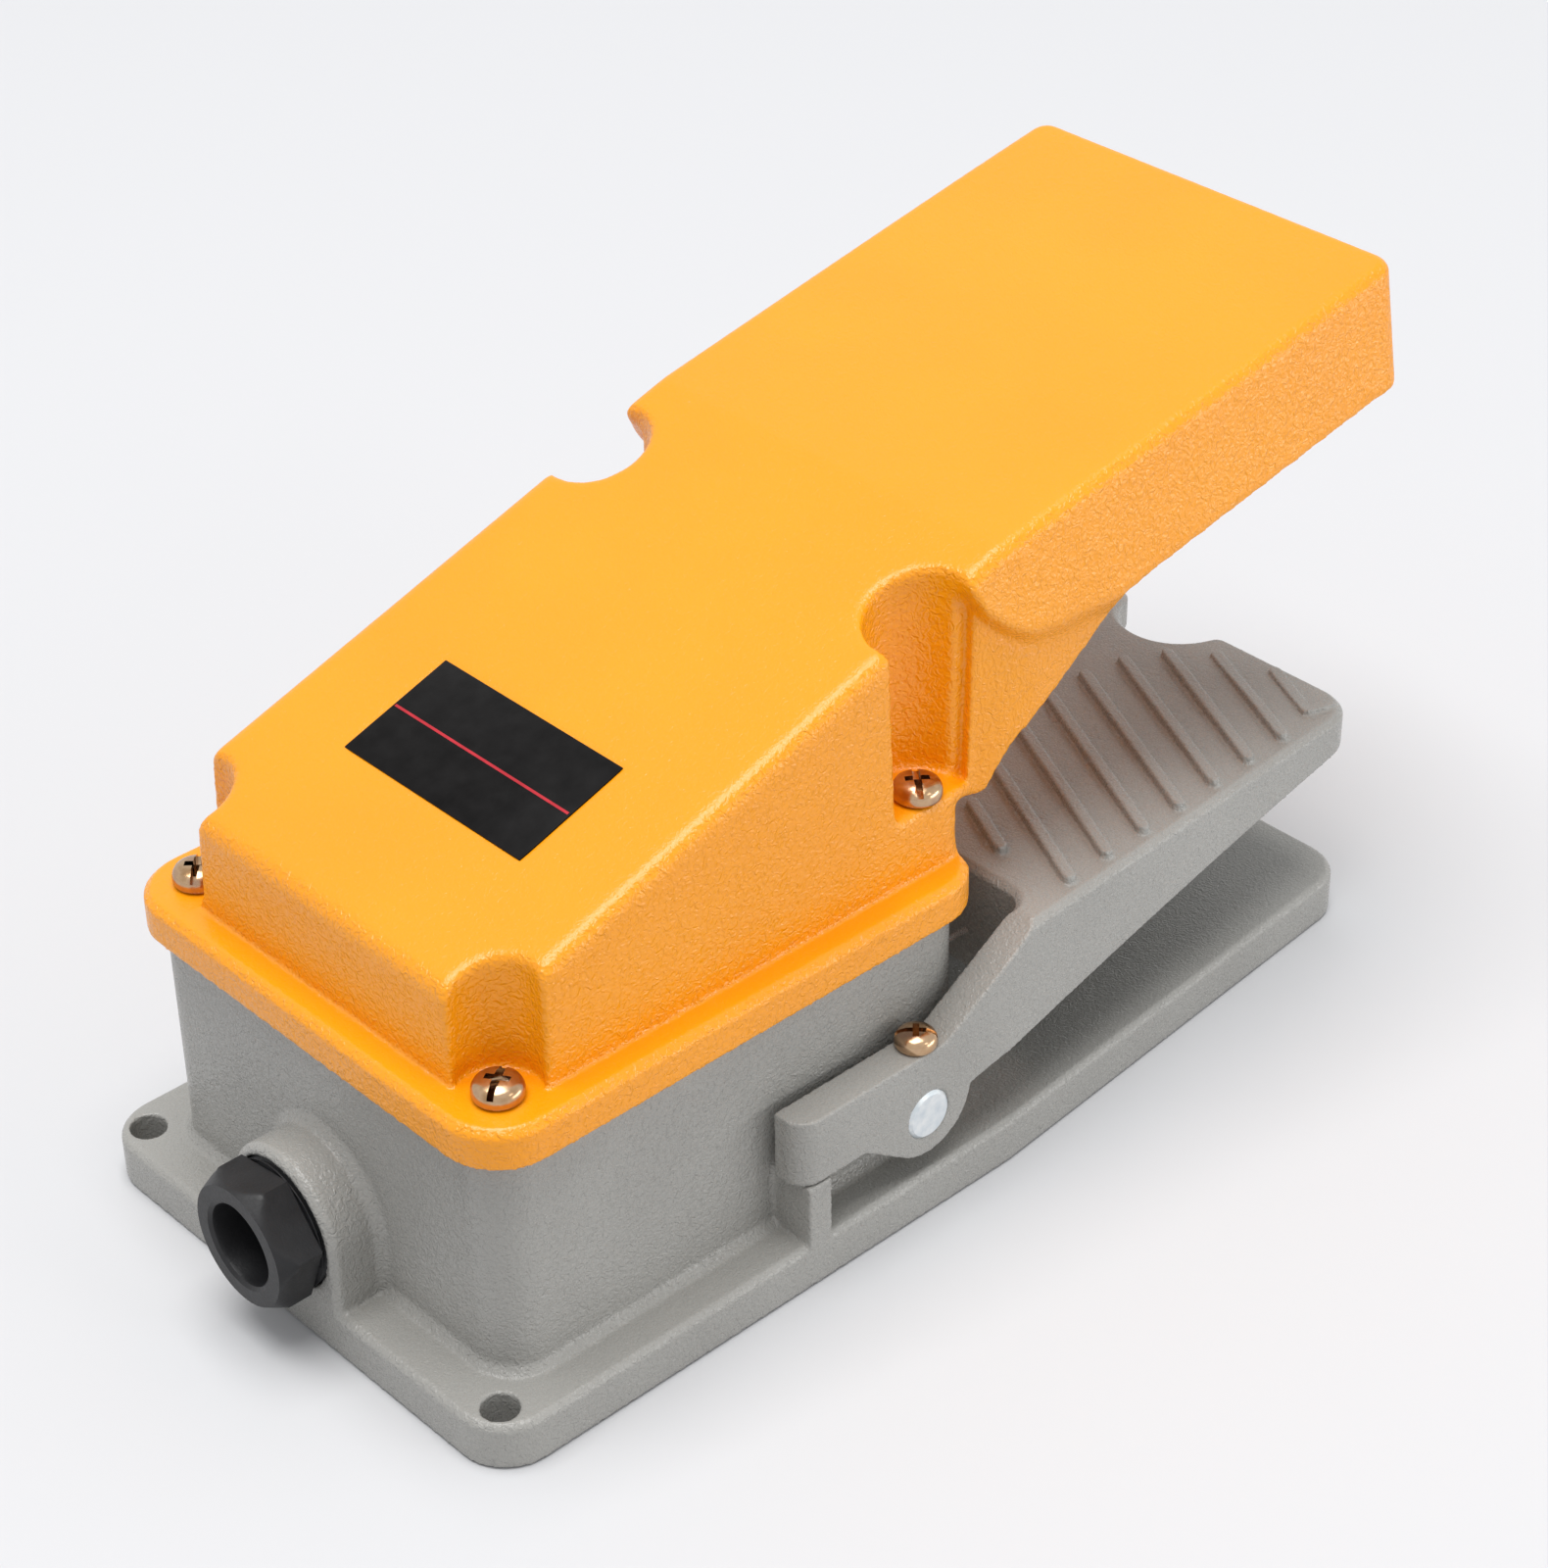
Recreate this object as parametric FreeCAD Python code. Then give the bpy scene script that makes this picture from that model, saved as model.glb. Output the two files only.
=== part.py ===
import FreeCAD, Part
import math
import os

# Industrial foot switch: a cast housing with a sprung foot pedal and a guard hood over it.
# Millimetres, +Z up. The origin is the centre of the base plate's underside.
# The toe end, where the foot goes in, points to -Y and the cable entry to +Y.

# Base plate
BASE_LENGTH = 234.0
BASE_WIDTH = 118.0
BASE_THICKNESS = 9.5
TOE_NARROWING = 9.75         # on each side
TAPER_AHEAD = 2.5            # box front to where the base starts to narrow
BASE_CORNER_R = 10.0
BASE_EDGE = 1.0              # chamfer, which the coat rounds
MOUNT_HOLE_D = 7.0
HOLE_SIDE_INSET = 7.0        # rear holes' centres to the base's sides
REAR_HOLE_INSET = 6.2        # and to its rear edge
FRONT_HOLE_INSET = 8.0
POCKET_DEPTH = 5.0
POCKET_RIM = 6.0
POCKET_RIB = 5.0
POCKET_ROWS = 2
POCKET_CORNER_R = 2.5

# Housing box on the base plate
BOX_SIDE_INSET = 9.5
BOX_REAR_INSET = 10.6        # rear edge of the base to the rear wall
BOX_LENGTH = 110.9
BOX_CORNER_R = 8.5
BOX_WALL = 4.0
BOX_FLOOR = 5.0
BOX_HEIGHT = 60.2
BOX_FOOT = 1.6               # chamfer between box and plate
ROOT = 1.0                   # how far bosses and ribs run into what carries them

# Tail posts beside the box, on which the pedal rests
POST_SETBACK = 1.8           # rear end of the pedal's tail to the post's rear face
POST_LENGTH = 5.5
POST_HEIGHT = 22.6

# Pedal pivot
PIVOT_SETBACK = 19.1         # box front to the shaft's axis
PIVOT_HEIGHT = 23.0
SHAFT_D = 10.0
SHAFT_END_CHAMFER = 0.6
SHAFT_PROUD = 0.3
RUNNING_CLEARANCE = 0.05
BUSH_D = 14.0
BUSH_LENGTH = 7.5
SEAL_LENGTH = 2.5
BUSH_BOSS_D = 21.0
RING_SIDES = 24              # of hidden rings and bosses
PEDAL_STROKE = 13.0          # degrees, toe down

# Top cover
FLANGE_OVERHANG = 3.4
FLANGE_LAP = 2.9             # below the box's rim
FLANGE_HEIGHT = 7.9
FLANGE_EDGE = 1.4            # chamfer
LEDGE = 6.2
COVER_WALL = 3.6
COVER_FRONT_STEP = 1.8       # flange front to the front wall's foot
COVER_DRAFT = 1.3
COVER_CORNER_R = 4.0
COVER_FIT = 0.3
REAR_ROOF_SLOPE = 0.33
REAR_ROOF_RISE = 14.6        # flange top to the rear roof plane, above the base's rear edge
FRONT_ROOF_SLOPE = 0.1943
CREASE_AHEAD = 9.7           # cover's front wall to the roof's crease
HOOD_OVERHANG = 3.5          # past the toe end
HOOD_SIDE_INSET = 1.35       # inside the cover's foot
SKIRT_FLARE = 4.05
SKIRT_DEPTH = 24.2
HOOD_ROOF_THICKNESS = 4.0
HOOD_FRONT_R = 4.0
ROOF_EDGE = 1.5              # chamfer
WEB_REACH = 45.0             # front wall to where the web runs out in the skirt
WEB_START_RISE = 6.6         # flange top to the blunt foot of the web's edge
WEB_FOOT = 1.2               # its length ahead of the front wall
WEB_BEND_RUN = 18.3          # foot to the middle of the web's curved edge
WEB_BEND_RISE = 18.1
WEB_TURN_LENGTH = 15.0
WEB_TURN_DEPTH = 3.0
GASKET_THICKNESS = 2.0
GASKET_WIDTH = 3.6
OVERCUT = 1.0                # how far a cutting shape runs past what it cuts

# Cover screws
SCREW_SIDE_INSET = 7.1       # box sides to the screws
SCREW_REAR_INSET = 7.2
SCREW_FRONT_INSET = 6.5
SCREW_D = 5.0
SCREW_HOLE_D = 5.5
SCREW_HEAD_D = 9.4
SCREW_HEAD_H = 2.9
SCREW_GRIP = 10.9            # thread in the housing
TAP_SPARE = 2.0              # tapped depth past a screw's end
SHANK_SIDES = 8              # shanks and tapped holes are prisms
SCREW_BOSS_D = 11.0
REAR_WELL_R = 9.0
FRONT_WELL_R = 10.2
WELL_DRAFT = 0.9
WELL_WALL = 3.2
FRONT_SEAT_RISE = 13.9       # flange top to the front screws' seats

# Blank rating plate
PLATE_WIDTH = 48.1
PLATE_LENGTH = 24.6
PLATE_THICKNESS = 0.5
PLATE_RECESS = 0.3
PLATE_INSET = 39.4           # rear edge to the plate's rear end

# Cable entry
GLAND_HEIGHT = 22.1
GLAND_BOSS_D = 30.0
GLAND_BOSS_RIM = 1.2         # chamfers of its edge and of its root on the box
GLAND_BOSS_ROOT = 1.8
GLAND_BORE_D = 25.8
GLAND_PASSAGE_D = 18.0
GLAND_SHOULDER = 2.0
GLAND_HEX = 24.0
GLAND_HEX_LENGTH = 8.6
GLAND_GAP = 0.8
GLAND_THREAD = 7.0
GLAND_HOLE_D = 16.0
GLAND_TURN = 9.0             # degrees the hexagon is turned
GLAND_CROWN = 1.2            # taken off the hexagon's corners at the crown
GLAND_CROWN_ANGLE = 60.0     # degrees, of the crown's cone from the axis
GLAND_SEAL_LENGTH = 4.0

# Pedal
PEDAL_SIDE = 0.2             # pedal side inside the base plate's side
PEDAL_HEIGHT = 51.7
PEDAL_FALL = 0.03
PEDAL_FRONT_INSET = 1.0
PEDAL_PLATE = 4.0
PEDAL_WALL = 4.5
PEDAL_CORNER_R = 9.0
PEDAL_EDGE = 1.3             # chamfer
PEDAL_RIBS = 2               # across the underside
PEDAL_RIB = 3.0
PEDAL_RIB_DEPTH = 8.0        # below the plate
ARM_THICKNESS = 7.1
TAIL_LENGTH = 31.8
TAIL_HEIGHT = 14.2
TAIL_CLEARANCE = 0.3
TAIL_CORNER_R = 4.5
ARM_RISE_LENGTH = 24.0
ARM_RISE_START = 4.4
HUB_R = 10.8
HUB_RAISE = 2.0
HUB_FOOT = 5.0               # spread of the hub's foot under the tail
HUB_FOOT_ANGLE = 53.0        # degrees down the hub to where its foot starts
FORK_AHEAD = 13.0            # box front to the fork's bottom
FORK_CORNER_R = 5.0
SKIRT_FOOT_HEIGHT = 24.2
SKIRT_MID_HEIGHT = 33.9
SKIRT_TOE_HEIGHT = 41.2
NOTCH_R = 11.6
NOTCH_LIP_R = 3.5
TREAD_HEIGHT = 1.0
TREAD_WIDTH = 2.6
TREAD_PITCH = 11.2           # as many long ribs as fit before the fork
TREAD_TOE_INSET = 21.5       # pedal front to the outer end of the first long rib
TREAD_SLANT = 26.0           # degrees from the pedal's width
TREAD_EDGE_GAP = 4.2
TREAD_LONGEST = 49.8
TREAD_LONGEST_ROW = 3.4
TREAD_SHORTENING = 1.5
TREAD_END_LENGTH = 15.6      # of the short ribs at the toe corner and behind the last row
TREAD_TOE_STEP = 2.0         # the toe corner's mark inside the row
TREAD_HOOK_LENGTH = 5.4
TREAD_HOOK_SLANT = 77.0      # degrees, of the short mark that hooks back towards the middle
TREAD_REAR_SETBACK = 7.5     # fork's bottom to the last short rib
TREAD_FACETS = 4             # sides of a rib's round end

# Set screws of the pedal and cam, and the small screws inside
SET_SCREW_D = 4.0
SET_HEAD_D = 8.1
SET_HEAD_H = 2.6
PAN_SHARE = 0.45             # part of a pan head's height that slopes
HEAD_SIDES = 20
PLAIN_SIDES = 12             # of heads and rods that the housing hides

# Cam on the shaft
CAM_WIDTH = 10.0
CAM_COLLAR = 5.0             # slotted collar that the return spring turns
CAM_HUB_R = 7.6
CAM_FLAT = 1.0
CAM_ARM = 11.5
CAM_NOSE_R = 4.0
CAM_GAP = 0.3

# Contact block
PLUNGER_R = 2.5
PLUNGER_OUT = 4.0
STEM_R = 1.7
STEM_LENGTH = 15.0
BLOCK_WIDTH = 34.0
BLOCK_LENGTH = 47.0
BLOCK_HEIGHT = 18.0
BLOCK_WALL = 3.0
CHAMBER_LENGTH = 18.0
CHAMBER_WIDTH = 27.0
CHAMBER_FLOOR = 2.5
LID_LENGTH = 27.0
LID_THICKNESS = 4.0
LID_EDGE_R = 1.5
SHOULDER_SETBACK = 4.0       # chamber front to the bridge's seat on the plunger
COLLAR_STEP = 1.2
COLLAR_LENGTH = 1.7
COLLAR_GAP = 0.3
BRIDGE_LENGTH = 24.0
BRIDGE_HEIGHT = 6.0
BRIDGE_THICKNESS = 1.2
CONTACT_WIDTH = 6.0
CONTACT_THICKNESS = 1.0
CONTACT_OFFSET = 9.5
CONTACT_GAP = 0.3            # left at the end of the stroke
EAR_LENGTH = 10.0
EAR_REACH = 9.0
EAR_HEIGHT = 8.0
EAR_SCREW_GRIP = 3.0
EAR_TAP_SPARE = 0.5
TERMINAL_D = 3.5
TERMINAL_HEAD_D = 6.5
TERMINAL_HEAD_H = 2.2
TERMINAL_GRIP = 7.0
TERMINAL_INSET = 8.0         # from the block's rear
TERMINAL_TAP = 8.0
PLUNGER_SPRING_R = 3.0
PLUNGER_SPRING_WIRE = 0.7
PLUNGER_SPRING_TURNS = 4

# Return spring on the shaft; its held leg goes out through the box's front wall
SPRING_R = 6.4
SPRING_WIRE_D = 1.2
SPRING_TURNS = 6
SPRING_PITCH = 1.8
COIL_STEPS = 10              # straight lengths in one turn of a coil
WIRE_SIDES = 5
LEG_DEPTH = 17.3             # box rim to the held leg
LEG_PROUD = 6.7
LEG_HOLE_D = 1.8
LEG_BEND_SETBACK = 14.5      # box front to the leg's bend

# Earth screw
EARTH_SIDE_INSET = 21.5      # from the box's side
EARTH_REAR_INSET = 21.4      # and from its rear
EARTH_POST_D = 9.0
EARTH_POST_HEIGHT = 12.0
EARTH_GRIP = 7.0
EARTH_TAP_SPARE = 1.0

REAR_Y = BASE_LENGTH / 2
X_AXIS = FreeCAD.Vector(1, 0, 0)
Y_AXIS = FreeCAD.Vector(0, 1, 0)
Z_AXIS = FreeCAD.Vector(0, 0, 1)
SIDES = (-1, 1)

# Places worked out from the driving dimensions
BOX_WIDTH = BASE_WIDTH - 2 * BOX_SIDE_INSET
BOX_REAR = REAR_Y - BOX_REAR_INSET
BOX_FRONT = BOX_REAR - BOX_LENGTH
TAPER_Y = BOX_FRONT - TAPER_AHEAD
TOE_WIDTH = BASE_WIDTH - 2 * TOE_NARROWING
PIVOT_Y = BOX_FRONT + PIVOT_SETBACK
FLANGE_BOTTOM = BOX_HEIGHT - FLANGE_LAP
FLANGE_TOP = FLANGE_BOTTOM + FLANGE_HEIGHT
FLANGE_REAR = BOX_REAR + FLANGE_OVERHANG
FLANGE_FRONT = BOX_FRONT - FLANGE_OVERHANG
FLANGE_HALF = BOX_WIDTH / 2 + FLANGE_OVERHANG
COVER_REAR = FLANGE_REAR - LEDGE
COVER_FRONT = FLANGE_FRONT + COVER_FRONT_STEP
COVER_HALF = FLANGE_HALF - LEDGE
GASKET_TOP = BOX_HEIGHT + GASKET_THICKNESS
SCREW_X = BOX_WIDTH / 2 - SCREW_SIDE_INSET
REAR_SCREW_Y = BOX_REAR - SCREW_REAR_INSET
FRONT_SCREW_Y = BOX_FRONT + SCREW_FRONT_INSET
HOOD_FRONT = -REAR_Y - HOOD_OVERHANG
HOOD_HALF = COVER_HALF - HOOD_SIDE_INSET
SKIRT_HALF = HOOD_HALF + SKIRT_FLARE
CREASE_Y = COVER_FRONT - CREASE_AHEAD
CREASE_HEIGHT = FLANGE_TOP + REAR_ROOF_RISE + REAR_ROOF_SLOPE * (REAR_Y - CREASE_Y)
PLATE_Y = REAR_Y - PLATE_INSET
PEDAL_HALF = BASE_WIDTH / 2 - PEDAL_SIDE
PEDAL_FRONT = -REAR_Y + PEDAL_FRONT_INSET
FORK_Y = BOX_FRONT - FORK_AHEAD
TAIL_END = PIVOT_Y + TAIL_LENGTH
TAIL_BOTTOM = POST_HEIGHT + TAIL_CLEARANCE
TAIL_TOP = TAIL_BOTTOM + TAIL_HEIGHT
ARM_INNER = PEDAL_HALF - ARM_THICKNESS
RISE_START = PIVOT_Y - ARM_RISE_START
RISE_END = RISE_START - ARM_RISE_LENGTH
BLOCK_FRONT = PIVOT_Y + CAM_NOSE_R + CAM_GAP + PLUNGER_OUT
PLUNGER_HEIGHT = PIVOT_HEIGHT - CAM_ARM
PLUNGER_TRAVEL = CAM_ARM * math.sin(math.radians(PEDAL_STROKE))
BLOCK_TOP = BOX_FLOOR + BLOCK_HEIGHT
BLOCK_REAR = BLOCK_FRONT + BLOCK_LENGTH
BLOCK_MIDDLE = BLOCK_FRONT + BLOCK_LENGTH / 2
CHAMBER_FRONT = BLOCK_FRONT + BLOCK_WALL
CHAMBER_REAR = CHAMBER_FRONT + CHAMBER_LENGTH
SHOULDER_Y = CHAMBER_FRONT + SHOULDER_SETBACK
BRIDGE_REAR = SHOULDER_Y + BRIDGE_THICKNESS
CONTACT_FRONT = BRIDGE_REAR + PLUNGER_TRAVEL + CONTACT_GAP
TERMINAL_Y = BLOCK_REAR - TERMINAL_INSET
EAR_X = (BLOCK_WIDTH + EAR_REACH) / 2
EARTH_X = BOX_WIDTH / 2 - EARTH_SIDE_INSET
EARTH_Y = BOX_REAR - EARTH_REAR_INSET
LEG_HEIGHT = BOX_HEIGHT - LEG_DEPTH
LEG_BEND_Y = BOX_FRONT + LEG_BEND_SETBACK


def vec(x, y, z):
    return FreeCAD.Vector(x, y, z)


def half_width(y):
    """Half the base plate's width at Y: straight at the rear, tapering to the toe."""
    if y >= TAPER_Y:
        return BASE_WIDTH / 2
    return BASE_WIDTH / 2 - TOE_NARROWING * (TAPER_Y - y) / (TAPER_Y + REAR_Y)


def polygon(points):
    return Part.Face(Part.makePolygon(list(points) + [points[0]]))


def plan_prism(points, low, high):
    """Solid over a plan outline given as (x, y) points."""
    return polygon([vec(x, y, low) for x, y in points]).extrude(vec(0, 0, high - low))


def side_prism(points, left, right):
    """Solid across the width from a side view given as (y, z) points."""
    return polygon([vec(left, y, z) for y, z in points]).extrude(vec(right - left, 0, 0))


def block(x0, x1, y0, y1, z0, z1):
    return Part.makeBox(x1 - x0, y1 - y0, z1 - z0, vec(x0, y0, z0))


def rod(radius, start, end):
    axis = end - start
    return Part.makeCylinder(radius, axis.Length, start, axis)


def faceted_rod(radius, sides, start, end):
    """Prism along an axis, its corners on a circle."""
    axis = end - start
    side = Z_AXIS if abs(axis.z) < 1e-6 else X_AXIS
    up = axis.cross(side).normalize()
    points = []
    for step in range(sides):
        turn = 2 * math.pi * (step + 0.5) / sides
        points.append(start + side * (radius * math.cos(turn)) + up * (radius * math.sin(turn)))
    return polygon(points).extrude(axis)


def prism(radius, sides, x, y, low, high):
    return faceted_rod(radius, sides, vec(x, y, low), vec(x, y, high))


def seal_ring(outer, inner, start, end):
    """Ring of few sides that touches the bore it sits in and clears what passes through it."""
    opening = inner / math.cos(math.pi / RING_SIDES)
    return faceted_rod(outer, RING_SIDES, start, end).cut(faceted_rod(opening, RING_SIDES, start, end))


def is_upright(edge):
    a, b = edge.Vertexes[0].Point, edge.Vertexes[-1].Point
    return abs(a.x - b.x) < 1e-6 and abs(a.y - b.y) < 1e-6 and abs(a.z - b.z) > 1e-6


def middle(edge):
    return edge.valueAt((edge.FirstParameter + edge.LastParameter) / 2)


def fillet(shape, radius, chosen):
    return shape.makeFillet(radius, [edge for edge in shape.Edges if chosen(edge)])


def chamfer(shape, size, chosen):
    return shape.makeChamfer(size, [edge for edge in shape.Edges if chosen(edge)])


def rounded_block(half, rear, front, low, high, radius):
    """Upright box with rounded corners, symmetric about the middle plane."""
    return fillet(block(-half, half, front, rear, low, high), radius, is_upright)


def mirrored(shape):
    return shape.mirror(vec(0, 0, 0), X_AXIS)


def both_sides(shape):
    return Part.makeCompound([shape, mirrored(shape)])


def join(shapes):
    """One solid from touching or overlapping shapes."""
    return shapes[0].multiFuse(list(shapes[1:])).removeSplitter()


def single(shape):
    """The only solid of a shape."""
    if len(shape.Solids) != 1:
        raise ValueError("expected one solid, found %d" % len(shape.Solids))
    return shape.Solids[0]


def roof_height(y):
    """Height of the cover's roof at Y."""
    slope = REAR_ROOF_SLOPE if y >= CREASE_Y else FRONT_ROOF_SLOPE
    return CREASE_HEIGHT + slope * (CREASE_Y - y)


def screw_places():
    """Cover screws: x, y, height of the seat and radius of the well round the head."""
    for side in SIDES:
        yield side * SCREW_X, REAR_SCREW_Y, FLANGE_TOP, REAR_WELL_R
        yield side * SCREW_X, FRONT_SCREW_Y, FLANGE_TOP + FRONT_SEAT_RISE, FRONT_WELL_R


def tapped_hole(diameter, x, y, top, depth):
    return prism(diameter / 2, SHANK_SIDES, x, y, top - depth, top)


def pan_screw(x, y, seat, head_d, head_h, shank_d, length):
    """Upright pan head screw whose head sits on the seat height."""
    head = prism(head_d / 2, HEAD_SIDES, x, y, seat, seat + head_h)
    head = chamfer(head, head_h * PAN_SHARE, lambda e: abs(middle(e).z - seat - head_h) < 1e-6)
    return single(join([head, tapped_hole(shank_d, x, y, seat, length)]))


def plain_screw(x, y, seat, head_d, head_h, shank_d, length):
    """Upright screw out of sight inside the housing, its head without detail."""
    head = prism(head_d / 2, PLAIN_SIDES, x, y, seat, seat + head_h)
    return single(join([head, tapped_hole(shank_d, x, y, seat, length)]))


def make_base_and_box():
    """Base plate with the closed box on it and a rounded foot all round between them."""
    outline = [(-BASE_WIDTH / 2, REAR_Y), (-BASE_WIDTH / 2, TAPER_Y), (-TOE_WIDTH / 2, -REAR_Y),
               (TOE_WIDTH / 2, -REAR_Y), (BASE_WIDTH / 2, TAPER_Y), (BASE_WIDTH / 2, REAR_Y)]
    plate = plan_prism(outline, 0, BASE_THICKNESS)
    plate = fillet(plate, BASE_CORNER_R, lambda e: is_upright(e) and abs(middle(e).y - TAPER_Y) > 1)
    plate = chamfer(plate, BASE_EDGE, lambda e: middle(e).z > BASE_THICKNESS - 1e-6)
    box = rounded_block(BOX_WIDTH / 2, BOX_REAR, BOX_FRONT, 0, BOX_HEIGHT, BOX_CORNER_R)
    half = BOX_WIDTH / 2 + ROOT
    return chamfer(join([plate, box]), BOX_FOOT, lambda e: abs(middle(e).z - BASE_THICKNESS) < 1e-6
                   and abs(middle(e).x) < half and BOX_FRONT - ROOT < middle(e).y < BOX_REAR + ROOT)


def make_gland_boss():
    """Round boss of the cable entry on a foot as wide as itself."""
    root = BOX_REAR - BOX_WALL
    boss = rod(GLAND_BOSS_D / 2, vec(0, root, GLAND_HEIGHT), vec(0, REAR_Y, GLAND_HEIGHT))
    foot = block(-GLAND_BOSS_D / 2, GLAND_BOSS_D / 2, root, REAR_Y, 0, GLAND_HEIGHT)
    return chamfer(join([boss, foot]), GLAND_BOSS_RIM,
                   lambda e: abs(middle(e).y - REAR_Y) < 1e-6 and middle(e).z > 1)


def make_pockets():
    """Hollows under the toe end, between the plate's rim and its ribs."""
    toe_end = 2 * FRONT_HOLE_INSET - REAR_Y
    pitch = (BOX_FRONT - toe_end) / POCKET_ROWS
    pockets = []
    for row in range(POCKET_ROWS):
        y0 = BOX_FRONT - pitch * row - POCKET_RIB / 2
        y1 = y0 - pitch + POCKET_RIB
        pocket = plan_prism([(POCKET_RIB / 2, y0), (half_width(y0) - POCKET_RIM, y0),
                             (half_width(y1) - POCKET_RIM, y1), (POCKET_RIB / 2, y1)], 0, POCKET_DEPTH)
        pocket = fillet(pocket, POCKET_CORNER_R, is_upright)
        pockets += [pocket, mirrored(pocket)]
    return pockets


def make_lower_housing():
    inner = BOX_WIDTH / 2 - BOX_WALL
    cavity = rounded_block(inner, BOX_REAR - BOX_WALL, BOX_FRONT + BOX_WALL,
                           BOX_FLOOR, BOX_HEIGHT, BOX_CORNER_R - BOX_WALL)
    hole_x = BASE_WIDTH / 2 - HOLE_SIDE_INSET
    additions = []
    cuts = make_pockets()
    for x, y, _, _ in screw_places():
        additions.append(prism(SCREW_BOSS_D / 2, RING_SIDES, x, y, BOX_FLOOR, BOX_HEIGHT))
        cuts.append(tapped_hole(SCREW_D, x, y, BOX_HEIGHT, SCREW_GRIP + TAP_SPARE))
    for side in SIDES:
        wall = vec(side * BOX_WIDTH / 2, PIVOT_Y, PIVOT_HEIGHT)
        reach = vec(side * (BOX_WIDTH / 2 - BUSH_LENGTH - SEAL_LENGTH), PIVOT_Y, PIVOT_HEIGHT)
        additions.append(faceted_rod(BUSH_BOSS_D / 2, RING_SIDES, reach,
                                     vec(side * (inner + ROOT), PIVOT_Y, PIVOT_HEIGHT)))
        cuts.append(rod(BUSH_D / 2, reach, wall))
        cuts.append(Part.makeCylinder(MOUNT_HOLE_D / 2, BASE_THICKNESS,
                                      vec(side * hole_x, REAR_Y - REAR_HOLE_INSET, 0)))
        cuts.append(tapped_hole(SET_SCREW_D, side * EAR_X, BLOCK_MIDDLE, BOX_FLOOR,
                                EAR_SCREW_GRIP + EAR_TAP_SPARE))
    additions.append(prism(EARTH_POST_D / 2, PLAIN_SIDES, EARTH_X, EARTH_Y, BOX_FLOOR - ROOT,
                           EARTH_POST_HEIGHT))
    cuts.append(tapped_hole(SET_SCREW_D, EARTH_X, EARTH_Y, EARTH_POST_HEIGHT, EARTH_GRIP + EARTH_TAP_SPARE))
    cuts.append(Part.makeCylinder(MOUNT_HOLE_D / 2, BASE_THICKNESS, vec(0, FRONT_HOLE_INSET - REAR_Y, 0)))
    cuts.append(faceted_rod(LEG_HOLE_D / 2, SHANK_SIDES, vec(-SCREW_X, BOX_FRONT, LEG_HEIGHT),
                            vec(-SCREW_X, LEG_BEND_Y, LEG_HEIGHT)))

    posts = []
    for side in SIDES:
        near, far = sorted((side * inner, side * BASE_WIDTH / 2))
        rear = TAIL_END - POST_SETBACK
        posts.append(block(near, far, rear - POST_LENGTH, rear, 0, POST_HEIGHT))

    rear_face = vec(0, REAR_Y, GLAND_HEIGHT)
    root = BOX_REAR - BOX_WALL
    cuts.append(rod(GLAND_BORE_D / 2, vec(0, root + GLAND_SHOULDER, GLAND_HEIGHT), rear_face))
    cuts.append(rod(GLAND_PASSAGE_D / 2, vec(0, root, GLAND_HEIGHT), rear_face))
    outer = join([make_base_and_box(), make_gland_boss()])
    outer = chamfer(outer, GLAND_BOSS_ROOT, lambda e: abs(middle(e).y - BOX_REAR) < 1e-6
                    and BASE_THICKNESS + BOX_FOOT < middle(e).z < BOX_HEIGHT - 1
                    and abs(middle(e).x) < GLAND_BOSS_D / 2 + 1e-6)
    hollow = join([outer] + posts).cut(cavity)
    return single(join([hollow] + additions).cut(Part.makeCompound(cuts)))


def tapered_body(half, rear, front, low, high, draft, radius):
    """Upright block whose sides lean in by the draft at its top, with rounded corners."""
    wires = []
    for z, inset in ((low, 0), (high, draft)):
        side, back, ahead = half - inset, rear - inset, front + inset
        wires.append(Part.makePolygon([vec(-side, back, z), vec(side, back, z), vec(side, ahead, z),
                                       vec(-side, ahead, z), vec(-side, back, z)]))
    solid = Part.makeLoft(wires, True, True)
    corners = [edge for edge in solid.Edges if abs(edge.Vertexes[0].Z - edge.Vertexes[-1].Z) > 1]
    return solid.makeFillet(radius, corners)


def front_roof(y):
    """Height of the hood's roof plane at Y, carried on behind the crease too."""
    return CREASE_HEIGHT + FRONT_ROOF_SLOPE * (CREASE_Y - y)


def hood_form(inset, roof_inset, front, rear):
    """Hood block between two Y: skirts flare down from the roof, then drop straight as the webs."""
    roof_half = HOOD_HALF - inset
    foot_half = SKIRT_HALF - inset
    sections = []
    for y in (front, rear):
        roof = front_roof(y) - roof_inset
        foot = front_roof(y) - SKIRT_DEPTH
        points = [vec(-roof_half, y, roof), vec(roof_half, y, roof), vec(foot_half, y, foot),
                  vec(foot_half, y, BOX_HEIGHT), vec(-foot_half, y, BOX_HEIGHT), vec(-foot_half, y, foot)]
        sections.append(Part.makePolygon(points + [points[0]]))
    return Part.makeLoft(sections, True, True)


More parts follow.
